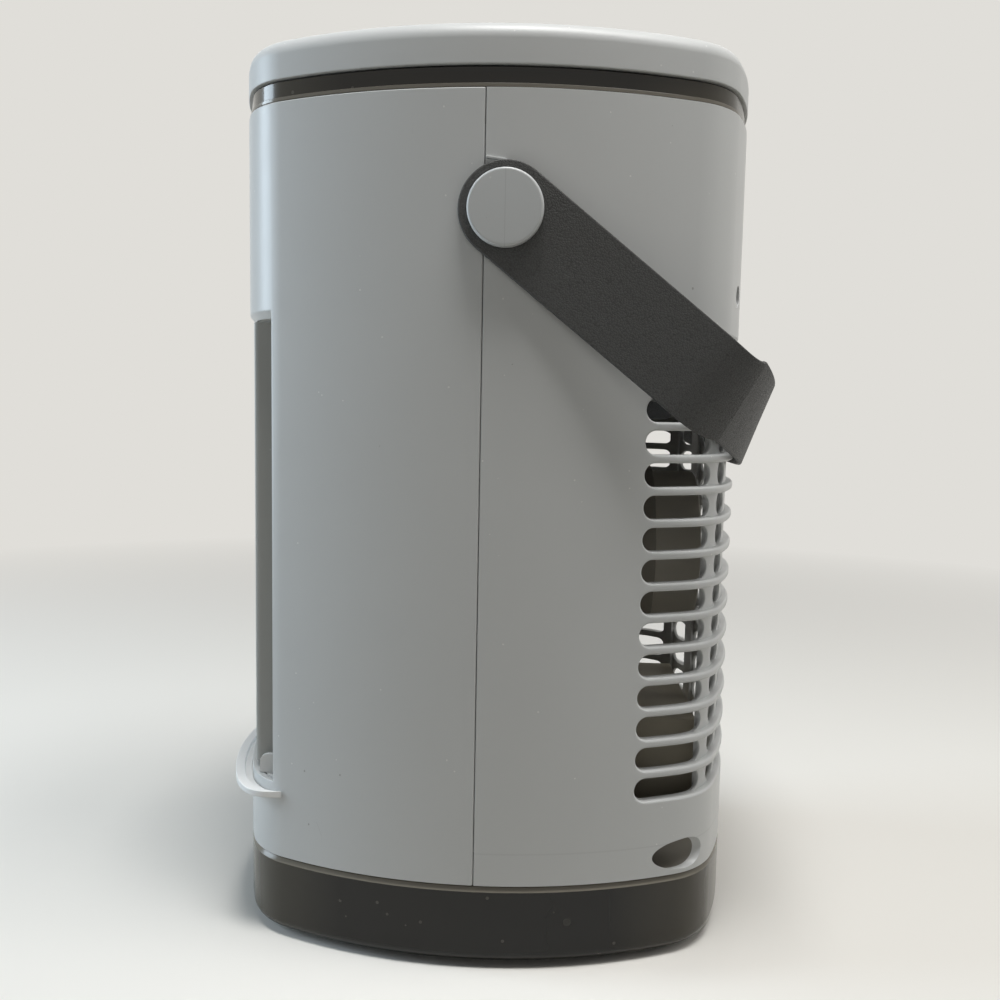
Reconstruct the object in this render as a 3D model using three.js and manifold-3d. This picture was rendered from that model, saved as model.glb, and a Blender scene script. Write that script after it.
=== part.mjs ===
// Tower air cooler: a white two-part housing with a wrap-around rear grille, a tall front outlet
// with coupled vertical vanes, an axial fan, a wick fed by a pump, and a smoke-grey tank as its base.
// Millimetres, +Z up, the outlet faces -Y. The origin is on the floor, in the middle of the footprint.
import * as THREE from "three";
import { mergeVertices } from "three/addons/utils/BufferGeometryUtils.js";
import Module from "manifold-3d";

const wasm = await Module();
wasm.setup();

// ------------------------------------------------------------ driving dimensions
const fit = 0.3; // clearance between pieces that touch
const plan = { halfWidth: 86, halfLength: 107, sideRadius: 197, endRadius: 136, cornerRadius: 33 };
const planSteps = { side: 3, corner: 3, end: 3 }; // straight facets in each arc of a quarter

const wall = 2.6; // housing wall
const housingBottom = 34;
const housingTop = 334;

const foot = { radius: 9, height: 3, recess: 1, fromSide: 36, fromEnd: 47 };
const tank = { wall: 2.4, floor: 2.5, bottomRound: 5, gap: 0.8, chamferHeight: 1.5, chamferInset: 1 };

const plate = { thickness: 3, lift: 1, skirtDepth: 7, skirtWall: 2 };
const seam = { tongueReach: 5, tongueWall: 1.4, tongueMargin: 12 };

const grille = {
  rows: 15, pitch: 12.44, slotHeight: 9.2, bottom: 31.7, frontEdge: 62.4, depth: 6, barDepth: 3,
};
const post = { count: 6, pitch: 23.4, width: 8.2, ease: 6 }; // spread evenly about the middle of the rear

const outlet = { halfWidth: 66.5, bottom: 31, top: 218.5, chamferHeight: 4 };
const vane = {
  count: 5, spacing: 25, chord: 22, nose: 10, thickness: 2, inset: 1, pinRadius: 1.5, endGap: 0.6,
};
const crank = { reach: 8, pinRadius: 1, pinLength: 2.6, travelDeg: 30 };
const link = { width: 7, thickness: 2, overhang: 6 };
const rail = { thickness: 3.7, depth: 14, halfLength: 62, wickGap: 2 };
const cheek = { thickness: 2, height: 8.5, length: 7.5, round: 3.5 };
const stepper = {
  radius: 14, height: 12.7, offset: 8, earReach: 21, earWidth: 7, earThickness: 1, drop: 8, socket: 8,
  shaftRadius: 3.2,
};
const lip = { reach: 7.2, rimWidth: 3.4, height: 2.6, floor: 1.2, top: 28, start: 79.9, blend: 12,
  tongueHalf: 30, tongueOverrun: 0.5 };

const fan = {
  z: 158, tipRadius: 58, hubRadius: 19, hubDepth: 24, blades: 7, setback: 5, rootPitch: 48, tipPitch: 24,
};
const ring = { clearance: 2, wall: 2.5, depth: 32 };
const bulkhead = { fromRear: 85, thickness: 3 };
const motor = { radius: 34, length: 33, shaftRadius: 3, bossRadius: 9, bossHeight: 2 };
const spider = { arms: 4, armWidth: 8, thickness: 3.6, cupDepth: 14, cupWall: 2.2 };

const wick = { halfWidth: 66, fromFront: 39, depth: 22, wall: 2.5, height: 265, pleats: 11, pleatSheet: 3.2 };
const trough = { height: 10, wall: 2, holes: 5, holeRadius: 1.2 };
const pump = {
  x: 52, behindWick: 14, radius: 14, height: 22, neckRadius: 9, spigotRadius: 2.4, spigotRise: 11,
};
const hose = { bore: 2.7, radius: 4, rise: 326, tail: 4, bendSteps: 6 };

const electrics = { halfWidth: 45, depth: 42, fromRear: 17, height: 52, wall: 2 };
const mainBoard = { width: 78, depth: 34, thickness: 1.6, lift: 3, postRadius: 2.5, postInset: 4 };
const relay = { length: 18, width: 16, height: 13, inset: 6 };
const capacitor = { radius: 5, height: 15, inset: 14, offset: 6 };
const inlet = {
  height: 16, barrelRadius: 5.3, flangeRadius: 7.5, flange: 1, bore: 2.9, length: 16, pinRadius: 0.9,
};

const lowTunnel = { x: 66.7, z: 8, bore: 6.3, wall: 1.7 };
const highTunnel = { x: 40, z: 232, bore: 4.5, wall: 1.7 };
const screw = {
  headRadius: 3.2, headHeight: 2.6, shankRadius: 1.5, length: 16, bossReach: 10, seatWall: 2.4,
  bossRadius: 3.6,
};

const deck = { top: 331, thickness: 3, rimInset: 7, rimWall: 2 };
const band = { inset: 1.2, ledgeInset: 0.5, ledge: 1.3, height: 7.6, depth: 4.8, bevel: 0.6 };
const cap = { height: 16, round: 7, wall: 2.4, topThickness: 4.2 };
const panel = { halfWidth: 62, halfDepth: 20, fromFront: 62, thickness: 2, corner: 8 };
const key = { radius: 6.8, spacing: 26, proud: 0.7, travel: 0.6, stemRadius: 2.5, height: 2.3 };
const keyboard = {
  halfWidth: 52, halfDepth: 14, thickness: 1.6, switchSize: 6, switchHeight: 2.9, postRadius: 3, postInset: 4,
};

const strap = {
  pivotAhead: 14, pivotHeight: 256.6, tilt: 39, width: 35, thickness: 2.2, sideGap: 1.1, restGap: 1,
  endRadius: 150, cornerRadius: 24, gripTilt: 19.3, gripRise: 6.6,
};
const button = { radius: 13.9, height: 4, round: 1.2, stemRadius: 5, stemReach: 10, bore: 2.2 };
const bush = { wall: 2 };
const strapScrew = { shankRadius: 1.9, shankLength: 9, headRadius: 6.4, headHeight: 2.5 };

// ------------------------------------------------------------ places that follow from the sizes
const radians = THREE.MathUtils.degToRad;
const bulkheadFront = plan.halfLength - bulkhead.fromRear;
const bulkheadBack = bulkheadFront + bulkhead.thickness;
const fanFront = bulkheadFront + fan.setback;
const seatY = bulkheadFront + screw.bossReach;
const bossEnd = seatY - screw.seatWall - fit;
const wickFront = wick.fromFront - plan.halfLength;
const wickBack = wickFront + wick.depth;
const pumpY = wickBack + pump.behindWick;
const electricsBack = plan.halfLength - electrics.fromRear;
const electricsFront = electricsBack - electrics.depth;
const panelY = panel.fromFront - plan.halfLength;
const inletZ = housingBottom + inlet.height;
const strapInner = plan.halfWidth + strap.sideGap;
const wide = 2 * (housingTop + plan.halfWidth); // reach of a cutter past the object
const pivotY = bulkheadFront - strap.pivotAhead;
const pivotCentre = [pivotY, housingBottom + strap.pivotHeight];

// The strap's reach leaves restGap between the lower edge of its grip and the rear of the housing.
const gripLean = (strap.width / 2) * Math.sin(radians(strap.gripTilt));
const gripCentreY = plan.halfLength + strap.restGap + strap.thickness / 2 + gripLean;
const gripOffset = gripCentreY - pivotY - strap.gripRise * Math.sin(radians(strap.tilt));
const strapReach = gripOffset / Math.cos(radians(strap.tilt));

// ------------------------------------------------------------ colours
const white = { color: 0xd9dcdf, roughness: 0.5, metalness: 0 };
const smoke = { color: 0x3b3a37, roughness: 0.3, metalness: 0 };
const dark = { color: 0x1d1d1d, roughness: 0.6, metalness: 0 };
const leather = { color: 0x3d3d3c, roughness: 0.7, metalness: 0 };
const rubber = { color: 0x141414, roughness: 0.9, metalness: 0 };
const steel = { color: 0x9a9a9a, roughness: 0.35, metalness: 1 };
const paper = { color: 0xc9cfc6, roughness: 1, metalness: 0 };
const circuit = { color: 0x1f4d33, roughness: 0.7, metalness: 0 };
const greyPlastic = { color: 0x8f8d88, roughness: 0.55, metalness: 0 };

// ------------------------------------------------------------ solid tools
const point = (x, y) => new THREE.Vector2(x, y);

function solid(geometry) {
  const bare = geometry.clone();
  bare.deleteAttribute("normal");
  bare.deleteAttribute("uv");
  const merged = mergeVertices(bare, 1e-4);
  return new wasm.Manifold(new wasm.Mesh({
    numProp: 3,
    vertProperties: new Float32Array(merged.attributes.position.array),
    triVerts: new Uint32Array(merged.index.array),
  }));
}

function geometryOf(manifold) {
  const mesh = manifold.getMesh();
  const geometry = new THREE.BufferGeometry();
  geometry.setAttribute("position", new THREE.Float32BufferAttribute(mesh.vertProperties, 3));
  geometry.setIndex([...mesh.triVerts]);
  geometry.computeVertexNormals();
  return geometry;
}

function union(solids) {
  return solids.reduce((whole, next) => whole.add(next));
}

// A flat outline in X and Y, raised from one height to another.
function prism(outlinePoints, bottom, top, holes = []) {
  const shape = new THREE.Shape(outlinePoints);
  for (const hole of holes) shape.holes.push(new THREE.Path(hole));
  const geometry = new THREE.ExtrudeGeometry(shape, { depth: top - bottom, bevelEnabled: false });
  geometry.translate(0, 0, bottom);
  return solid(geometry);
}

// An outline in Y and Z, run along X.
function prismAlongX(outlinePoints, from, to) {
  const shape = new THREE.Shape(outlinePoints);
  const geometry = new THREE.ExtrudeGeometry(shape, { depth: to - from, bevelEnabled: false });
  geometry.applyMatrix4(new THREE.Matrix4().makeBasis(
    new THREE.Vector3(0, 1, 0), new THREE.Vector3(0, 0, 1), new THREE.Vector3(1, 0, 0)));
  geometry.translate(from, 0, 0);
  return solid(geometry);
}

// An outline in X and Z, run along Y.
function prismAlongY(outlinePoints, from, to, holes = []) {
  const shape = new THREE.Shape(outlinePoints);
  for (const hole of holes) shape.holes.push(new THREE.Path(hole));
  const geometry = new THREE.ExtrudeGeometry(shape, { depth: to - from, bevelEnabled: false });
  geometry.rotateX(Math.PI / 2);
  geometry.translate(0, to, 0);
  return solid(geometry);
}

function block(x0, x1, y0, y1, z0, z1) {
  const geometry = new THREE.BoxGeometry(x1 - x0, y1 - y0, z1 - z0);
  geometry.translate((x0 + x1) / 2, (y0 + y1) / 2, (z0 + z1) / 2);
  return solid(geometry);
}

// A round rod along X, Y or Z through the given centre, from one coordinate to another.
function rod(axis, radius, from, to, centre, sides = 20) {
  const geometry = new THREE.CylinderGeometry(radius, radius, to - from, sides);
  const middle = (from + to) / 2;
  if (axis === "x") {
    geometry.rotateZ(-Math.PI / 2);
    geometry.translate(middle, centre[0], centre[1]);
  } else if (axis === "y") {
    geometry.translate(centre[0], middle, centre[1]);
  } else {
    geometry.rotateX(Math.PI / 2);
    geometry.translate(centre[0], centre[1], middle);
  }
  return solid(geometry);
}

function circle(radius, centreX, centreY, sides = 20) {
  return Array.from({ length: sides }, (_, i) => {
    const angle = (2 * Math.PI * i) / sides;
    return point(centreX + radius * Math.cos(angle), centreY + radius * Math.sin(angle));
  });
}

function roundedRectangle(halfWidth, halfHeight, radius, centreX, centreY, steps = 3) {
  const corners = [[1, 1], [-1, 1], [-1, -1], [1, -1]];
  return corners.flatMap(([sx, sy], corner) => Array.from({ length: steps + 1 }, (_, i) => {
    const angle = (Math.PI / 2) * (corner + i / steps);
    return point(centreX + sx * (halfWidth - radius) + radius * Math.cos(angle),
      centreY + sy * (halfHeight - radius) + radius * Math.sin(angle));
  }));
}

// A closed solid through equal rings of points, capped at its first and last ring.
function loft(rings) {
  const count = rings[0].length;
  const positions = rings.flatMap((ringPoints) => ringPoints.flatMap((p) => [p.x, p.y, p.z]));
  const index = [];
  for (let level = 0; level + 1 < rings.length; level += 1) {
    for (let i = 0; i < count; i += 1) {
      const a = level * count + i;
      const b = level * count + ((i + 1) % count);
      index.push(a, b, b + count, a, b + count, a + count);
    }
  }
  const last = (rings.length - 1) * count;
  for (let i = 1; i + 1 < count; i += 1) {
    index.push(0, i + 1, i);
    index.push(last, last + i, last + i + 1);
  }
  const geometry = new THREE.BufferGeometry();
  geometry.setAttribute("position", new THREE.Float32BufferAttribute(positions, 3));
  geometry.setIndex(index);
  return solid(geometry);
}

// ------------------------------------------------------------ the plan outline
// Each quarter is a wide side arc, a corner arc that touches both, and a flatter end arc.
function quarterArcs({ halfWidth, halfLength, sideRadius, endRadius, cornerRadius }) {
  const side = point(halfWidth - sideRadius, 0);
  const end = point(0, halfLength - endRadius);
  const between = end.clone().sub(side);
  const distance = between.length();
  const fromSide = sideRadius - cornerRadius;
  const fromEnd = endRadius - cornerRadius;
  const along = (fromSide ** 2 - fromEnd ** 2 + distance ** 2) / (2 * distance);
  const across = Math.sqrt(fromSide ** 2 - along ** 2);
  const unit = between.normalize();
  const corner = point(side.x + unit.x * along - unit.y * across, side.y + unit.y * along + unit.x * across);
  const sideEnd = Math.atan2(corner.y - side.y, corner.x - side.x);
  const cornerEnd = Math.atan2(corner.y - end.y, corner.x - end.x);
  return [
    { centre: side, radius: sideRadius, from: 0, to: sideEnd },
    { centre: corner, radius: cornerRadius, from: sideEnd, to: cornerEnd },
    { centre: end, radius: endRadius, from: cornerEnd, to: Math.PI / 2 },
  ];
}

function quarterOutline(sizes, inset) {
  const steps = [planSteps.side, planSteps.corner, planSteps.end];
  const points = [];
  quarterArcs(sizes).forEach((arc, k) => {
    for (let i = k === 0 ? 0 : 1; i <= steps[k]; i += 1) {
      const angle = arc.from + ((arc.to - arc.from) * i) / steps[k];
      points.push(point(arc.centre.x + (arc.radius - inset) * Math.cos(angle),
        arc.centre.y + (arc.radius - inset) * Math.sin(angle)));
    }
  });
  return points;
}

// The whole outline, moved in by inset all round, counter-clockwise from the middle of the +X side.
function outline(inset, sizes = plan) {
  const quarter = quarterOutline(sizes, inset);
  const left = quarter.slice(0, -1).reverse().map((p) => point(-p.x, p.y));
  const rear = [...quarter, ...left];
  const front = rear.slice(1, -1).reverse().map((p) => point(p.x, -p.y));
  return [...rear, ...front];
}

// A point on the rear +X quarter, a given length along the outline from the middle of the side.
function alongOutline(length, inset) {
  let left = length;
  for (const arc of quarterArcs(plan)) {
    const arcLength = arc.radius * (arc.to - arc.from);
    if (left <= arcLength || arc.to > Math.PI / 2 - 1e-9) {
      const angle = arc.from + left / arc.radius;
      const normal = point(Math.cos(angle), Math.sin(angle));
      return { at: arc.centre.clone().addScaledVector(normal, arc.radius - inset), normal };
    }
    left -= arcLength;
  }
  return null;
}

const quarterLength = quarterArcs(plan).reduce((sum, arc) => sum + arc.radius * (arc.to - arc.from), 0);

// How far the outline reaches along Y at a given X.
function endAt(x, inset) {
  const points = quarterOutline(plan, inset);
  const i = points.findIndex((p) => p.x <= Math.abs(x) + 1e-6);
  const [a, b] = [points[i - 1], points[i]];
  return a.y + ((b.y - a.y) * (a.x - Math.abs(x))) / (a.x - b.x);
}

// A slab of the plan outline.
const slab = (inset, bottom, top, sizes = plan) => prism(outline(inset, sizes), bottom, top);

// A wall that follows the outline between two insets.
const wallRing = (outer, inner, bottom, top) => prism(outline(outer), bottom, top, [outline(inner)]);

// A solid of the plan outline whose inset changes from level to level.
function stack(levels) {
  return loft(levels.map(([inset, z]) => outline(inset).map((p) => new THREE.Vector3(p.x, p.y, z))));
}

// Levels round a convex edge of the given radius, from its lower to its upper end.
function roundLevels(radius, inset, z, from, to, steps = 3) {
  return Array.from({ length: steps + 1 }, (_, i) => {
    const angle = radians(from + ((to - from) * i) / steps);
    return [inset + radius * (1 - Math.cos(angle)), z + radius * Math.sin(angle)];
  });
}

// ------------------------------------------------------------ the finished object
const cooler = new THREE.Group();

function part(name, manifold, look) {
  const mesh = new THREE.Mesh(geometryOf(manifold), new THREE.MeshStandardMaterial(look));
  mesh.name = name;
  cooler.add(mesh);
  return mesh;
}

// ------------------------------------------------------------ tank and feet
const tankBottom = foot.height - foot.recess;
const tankTop = housingBottom - tank.gap;
const tankFloorTop = tankBottom + tank.floor;
const footX = plan.halfWidth - foot.fromSide;
const footY = plan.halfLength - foot.fromEnd;
const feetAt = [["front_right", 1, -1], ["rear_right", 1, 1], ["rear_left", -1, 1], ["front_left", -1, -1]];

function waterTank() {
  const outerRound = roundLevels(tank.bottomRound, 0, tankBottom + tank.bottomRound, -90, 0, 2);
  let body = stack([
    ...outerRound,
    [0, tankTop - tank.chamferHeight],
    [tank.chamferInset, tankTop],
    [tank.wall, tankTop],
    [tank.wall, tankFloorTop + tank.bottomRound - tank.floor],
    [tank.bottomRound, tankFloorTop],
  ]);
  for (const [, sx, sy] of feetAt) {
    const recess = rod("z", foot.radius + fit, -1, foot.height, [sx * footX, sy * footY], 16);
    body = body.subtract(recess);
  }
  return body;
}

part("water_tank", waterTank(), smoke);
for (const [place, sx, sy] of feetAt) {
  part(`foot_${place}`, rod("z", foot.radius, 0, foot.height - fit, [sx * footX, sy * footY], 16), rubber);
}

// ------------------------------------------------------------ screw tunnels, shared by shell and bulkhead
const tunnels = [
  ["lower_right", 1, lowTunnel], ["lower_left", -1, lowTunnel],
  ["upper_right", 1, highTunnel], ["upper_left", -1, highTunnel],
].map(([place, side, size]) => ({ ...size, place, x: side * size.x, z: housingBottom + size.z }));

// ------------------------------------------------------------ rear shell
const slotBottom = (row) => housingBottom + grille.bottom + row * grille.pitch;
const grilleTop = slotBottom(grille.rows - 1) + grille.slotHeight;
const thickFrom = grille.frontEdge - 4;

// The outline of an opening whose ends are half ellipses, ease long. It runs past its flat top and
// bottom, which the row trims.
function openingOutline(from, to, ease) {
  const height = grille.slotHeight;
  const rise = height / 2;
  const steps = 2;
  const corners = [[to - ease, -90], [to - ease, 0], [from + ease, 90], [from + ease, 180]];
  const points = corners.flatMap(([x, start]) => Array.from({ length: steps + 1 }, (_, i) => {
    const angle = radians(start + (90 * i) / steps);
    return point(x + ease * Math.cos(angle), rise + rise * Math.sin(angle));
  }));
  points.splice(2 * (steps + 1), 0, point(to - ease, height + 1), point(from + ease, height + 1));
  points.push(point(from + ease, -1), point(to - ease, -1));
  return points;
}

// One window between two posts, cut square to the wall.
function windowCutter(lengthAlong, side, width) {
  const { at, normal } = alongOutline(lengthAlong, grille.depth + 2);
  const shape = new THREE.Shape(openingOutline(-width / 2, width / 2, post.ease));
  const geometry = new THREE.ExtrudeGeometry(shape, { depth: grille.depth + 4, bevelEnabled: false });
  const out = new THREE.Vector3(side * normal.x, normal.y, 0);
  const up = new THREE.Vector3(0, 0, 1);
  geometry.applyMatrix4(new THREE.Matrix4().makeBasis(new THREE.Vector3().crossVectors(up, out), up, out));
  geometry.translate(side * at.x, at.y, 0);
  return solid(geometry);
}

// Everything one row takes away: the long side slots, the windows, and the outer layer that stands
// free of the posts, so that only the bars between rows stay proud.
function rowCutter() {
  const height = grille.slotHeight;
  const firstPost = quarterLength - (post.pitch * (post.count - 1)) / 2;
  const slotEnd = alongOutline(firstPost - post.width / 2, grille.barDepth).at.y;
  const outer = block(-wide, wide, grille.frontEdge + height / 2, wide, -1, height + 1)
    .subtract(slab(grille.barDepth, -2, height + 2));
  const slot = prismAlongX(openingOutline(grille.frontEdge, slotEnd, height / 2), -wide, wide);
  const windows = [];
  for (let bay = 0; bay < post.count - 1; bay += 1) {
    const fromMiddle = post.pitch * (bay + 1 - post.count / 2);
    const side = fromMiddle < 0 ? 1 : -1;
    windows.push(windowCutter(quarterLength - Math.abs(fromMiddle), side, post.pitch - post.width));
  }
  return union([outer, slot, ...windows]).intersect(block(-wide, wide, 0, wide, 0, height));
}

function grilleCutters() {
  const cutter = geometryOf(rowCutter());
  const atRow = (row) => solid(cutter.clone().translate(0, 0, slotBottom(row)));
  return Array.from({ length: grille.rows }, (_, row) => atRow(row));
}

function rearShell() {
  let shell = wallRing(0, wall, housingBottom, housingTop);
  shell = shell.subtract(block(-wide, wide, -wide, fit / 2, 0, wide));
  const thick = wallRing(wall - 0.2, grille.depth, slotBottom(0) - 5, grilleTop + 5);
  shell = shell.add(thick.intersect(block(-wide, wide, thickFrom, wide, 0, wide)));
  shell = shell.add(seamTongue());
  for (const { x, z, bore, wall: tubeWall } of tunnels) {
    const tube = rod("y", bore + tubeWall, seatY - screw.seatWall, plan.halfLength, [x, z], 16);
    shell = shell.add(tube.intersect(slab(0, housingBottom, housingTop)));
  }
  for (const { x, z, bore } of tunnels) {
    shell = shell.subtract(rod("y", bore, seatY, plan.halfLength + 5, [x, z], 16));
    shell = shell.subtract(rod("y", screw.shankRadius + fit, 0, seatY + 1, [x, z], 8));
  }
  for (const cutter of grilleCutters()) shell = shell.subtract(cutter);
  shell = shell.subtract(rod("y", inlet.barrelRadius + fit, electricsBack, wide, [0, inletZ]));
  return pivotHoles(shell);
}

// The tongue on the rear shell that keeps the two shells in line at the seam.
function seamTongue() {
  const low = housingBottom + seam.tongueMargin;
  const high = housingTop - seam.tongueMargin;
  const inner = wall + fit + seam.tongueWall;
  const tongue = wallRing(wall + fit, inner, low, high);
  const root = wallRing(wall - 0.2, inner, low, high);
  const reach = tongue.intersect(block(-wide, wide, -seam.tongueReach, fit / 2 + 0.1, 0, wide));
  return reach.add(root.intersect(block(-wide, wide, fit / 2, seam.tongueReach, 0, wide)));
}

function pivotHoles(shell) {
  return shell.subtract(rod("x", button.stemRadius + fit, -wide, wide, pivotCentre));
}

// ------------------------------------------------------------ front shell
const outletBottom = housingBottom + outlet.bottom;
const outletTop = housingBottom + outlet.top;
const lipTop = housingBottom + lip.top;
const lipBottom = lipTop - lip.height;

function outletCutter() {
  const opening = block(-outlet.halfWidth, outlet.halfWidth, -wide, wickFront, outletBottom, outletTop);
  const slopeTop = outletTop + outlet.chamferHeight * 1.6;
  const funnel = stack([[wall, outletTop - 1], [wall, outletTop], [wall - (wall * 1.6), slopeTop]]);
  const above = block(-outlet.halfWidth, outlet.halfWidth, -wide, wickFront, outletTop - 0.5, slopeTop - 0.1);
  return opening.add(above.subtract(funnel));
}

function frontShell() {
  let shell = wallRing(0, wall, housingBottom, housingTop);
  shell = shell.subtract(block(-wide, wide, -fit / 2, wide, 0, wide));
  shell = shell.subtract(outletCutter());
  shell = shell.subtract(block(-lip.tongueHalf - fit, lip.tongueHalf + fit, -wide, wickFront,
    lipBottom - fit, lipBottom + lip.floor + fit));
  return pivotHoles(shell);
}

part("front_shell", frontShell(), white);
part("rear_shell", rearShell(), white);

// ------------------------------------------------------------ drip lip below the outlet
function dripLip() {
  const reachAt = (y) => {
    const t = THREE.MathUtils.clamp((-y - lip.start) / lip.blend, 0, 1);
    return Math.sin((t * Math.PI) / 2);
  };
  const front = outline(-fit).filter((p) => p.y < -lip.start + 4);
  const right = front.filter((p) => p.x > 0.01);
  const left = front.filter((p) => p.x < -0.01).reverse();
  const edge = [startPoint(-1), ...left.reverse(), point(0, -plan.halfLength - fit), ...right, startPoint(1)];
  const outer = edge.map((p) => moveOut(p, lip.reach * reachAt(p.y)));
  const rimInner = edge.map((p) => moveOut(p, Math.max((lip.reach - lip.rimWidth) * reachAt(p.y), 0)));
  const inner = [...edge].reverse();
  const floorPlate = prism([...outer, ...inner.slice(1, -1)], lipBottom, lipBottom + lip.floor);
  const rim = prism([...outer, ...rimInner.reverse().slice(1, -1)], lipBottom, lipTop);
  const tongueEnd = lip.tongueOverrun - endAt(lip.tongueHalf, wall);
  const tongue = block(-lip.tongueHalf, lip.tongueHalf, -plan.halfLength - 1, tongueEnd,
    lipBottom, lipBottom + lip.floor);
  return floorPlate.add(rim).add(tongue);
}

function startPoint(side) {
  const points = quarterOutline(plan, -fit);
  const i = points.findIndex((p) => p.y >= lip.start);
  const [a, b] = [points[i - 1], points[i]];
  const x = a.x + ((b.x - a.x) * (lip.start - a.y)) / (b.y - a.y);
  return point(side * x, -lip.start);
}

// Moves a point of the outline straight out by a distance.
function moveOut(p, distance) {
  const sign = point(Math.sign(p.x) || 1, -1);
  const flat = point(Math.abs(p.x), Math.abs(p.y));
  let best = null;
  for (const arc of quarterArcs(plan)) {
    const angle = Math.atan2(flat.y - arc.centre.y, flat.x - arc.centre.x);
    if (angle >= arc.from - 1e-6 && angle <= arc.to + 1e-6) best = angle;
  }
  return point(p.x + sign.x * Math.cos(best) * distance, p.y - Math.sin(best) * distance);
}

part("drip_lip", dripLip(), white);

// ------------------------------------------------------------ base plate with its locating skirt
const plateBottom = housingBottom + plate.lift;
const plateTop = plateBottom + plate.thickness;

function basePlate() {
  const inset = wall + fit;
  let body = slab(inset, plateBottom, plateTop);
  const skirtBottom = plateBottom - plate.skirtDepth;
  body = body.add(wallRing(inset, inset + plate.skirtWall, skirtBottom, plateBottom + 0.5));
  for (const { x, z, bore, wall: tubeWall } of tunnels.slice(0, 2)) {
    const outer = bore + tubeWall + fit;
    body = body.subtract(block(x - outer, x + outer, bossEnd, wide, z - outer, z + outer));
  }
  body = body.subtract(rod("z", pump.spigotRadius + fit, 0, plateTop + 1, [pump.x, pumpY]));
  for (const x of [-40, 0, 40]) {
    const drain = roundedRectangle(12, 5, 4, x, (wickFront + wickBack) / 2, 1);
    body = body.subtract(prism(drain, 0, plateTop + 1));
  }
  return body;
}

part("base_plate", basePlate(), dark);

// ------------------------------------------------------------ bulkhead with the fan ring
const ringInner = fan.tipRadius + ring.clearance;
const ringOuter = ringInner + ring.wall;
const bulkheadBottom = plateTop + fit;
const bulkheadTop = deck.top - deck.thickness - fit;

function fanBulkhead() {
  const halfWidth = outlineX(bulkheadBack, wall + fit);
  const shape = [
    point(-halfWidth, bulkheadBottom), point(halfWidth, bulkheadBottom),
    point(halfWidth, bulkheadTop), point(-halfWidth, bulkheadTop),
  ];
  let body = prismAlongY(shape, bulkheadFront, bulkheadBack);
  body = body.add(rod("y", ringOuter, bulkheadFront, bulkheadFront + ring.depth, [0, fan.z], 26));
  body = body.subtract(rod("y", ringInner, 0, wide, [0, fan.z], 26));
  for (const { x, z } of tunnels) {
    body = body.add(rod("y", screw.bossRadius, bulkheadFront, bossEnd, [x, z], 10));
    body = body.subtract(rod("y", screw.shankRadius + fit, bulkheadFront - 1, wide, [x, z], 8));
  }
  return body;
}

// How far the outline reaches along X at a given Y.
function outlineX(y, inset) {
  const points = quarterOutline(plan, inset);
  const i = points.findIndex((p) => p.y >= Math.abs(y));
  const [a, b] = [points[i - 1], points[i]];
  return a.x + ((b.x - a.x) * (Math.abs(y) - a.y)) / (b.y - a.y);
}

part("fan_bulkhead", fanBulkhead(), dark);

function rearScrew(x, z) {
  const head = rod("y", screw.headRadius, seatY + fit, seatY + fit + screw.headHeight, [x, z], 10);
  const shank = rod("y", screw.shankRadius, seatY + fit - screw.length, seatY + fit + 0.5, [x, z], 8);
  const slotZ = 0.5;
  const depth = seatY + fit + screw.headHeight;
  return head.add(shank).subtract(block(x - 2, x + 2, depth - 1, depth + 1, z - slotZ, z + slotZ));
}

for (const { place, x, z } of tunnels) part(`screw_${place}`, rearScrew(x, z), steel);

// ------------------------------------------------------------ motor, its mount, shaft and fan
const spiderFront = bulkheadFront + ring.depth + fit;
const motorFront = spiderFront + spider.thickness + fit;

function motorMount() {
  const back = spiderFront + spider.thickness;
  const cupInner = motor.radius + fit;
  let body = rod("y", ringOuter, spiderFront, back, [0, fan.z], 26)
    .subtract(rod("y", ringInner, 0, wide, [0, fan.z], 26));
  for (let arm = 0; arm < spider.arms; arm += 1) {
    const angle = Math.PI * (arm / spider.arms * 2 + 0.25);
    const geometry = new THREE.BoxGeometry(ringInner - motor.radius + 3, spider.thickness, spider.armWidth);
    geometry.translate((ringInner + motor.radius) / 2, 0, 0);
    geometry.rotateY(angle);
    geometry.translate(0, (spiderFront + back) / 2, fan.z);
    body = body.add(solid(geometry));
  }
  body = body.add(rod("y", cupInner + spider.cupWall, spiderFront, back + spider.cupDepth, [0, fan.z], 22));
  body = body.subtract(rod("y", cupInner, back, wide, [0, fan.z], 22));
  return body.subtract(rod("y", motor.bossRadius + fit, 0, wide, [0, fan.z], 14));
}

part("motor_mount", motorMount(), dark);

function fanMotor() {
  const boss = rod("y", motor.bossRadius, motorFront - motor.bossHeight, motorFront + 1, [0, fan.z], 14);
  const can = rod("y", motor.radius, motorFront, motorFront + motor.length, [0, fan.z], 22);
  const bore = rod("y", motor.shaftRadius + fit, 0, motorFront + motor.length - 8, [0, fan.z], 16);
  return can.add(boss).subtract(bore);
}

part("fan_motor", fanMotor(), dark);

const shaftFront = fanFront + 4;

function motorShaft() {
  return rod("y", motor.shaftRadius, shaftFront, motorFront + motor.length - 8 - fit, [0, fan.z], 16);
}

part("motor_shaft", motorShaft(), steel);

// One blade: flat sections that turn from the root pitch to the tip pitch, lofted outwards along +X.
function fanBlade() {
  const rings = [];
  const steps = 3;
  for (let i = 0; i <= steps; i += 1) {
    const share = i / steps;
    const radius = THREE.MathUtils.lerp(fan.hubRadius - 2, fan.tipRadius, share);
    const pitch = radians(THREE.MathUtils.lerp(fan.rootPitch, fan.tipPitch, share));
    const halfChord = THREE.MathUtils.lerp(11, 19, share);
    const sweep = 6 * share * share;
    rings.push(bladeSection(radius, pitch, halfChord, sweep));
  }
  return loft(rings);
}

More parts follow.
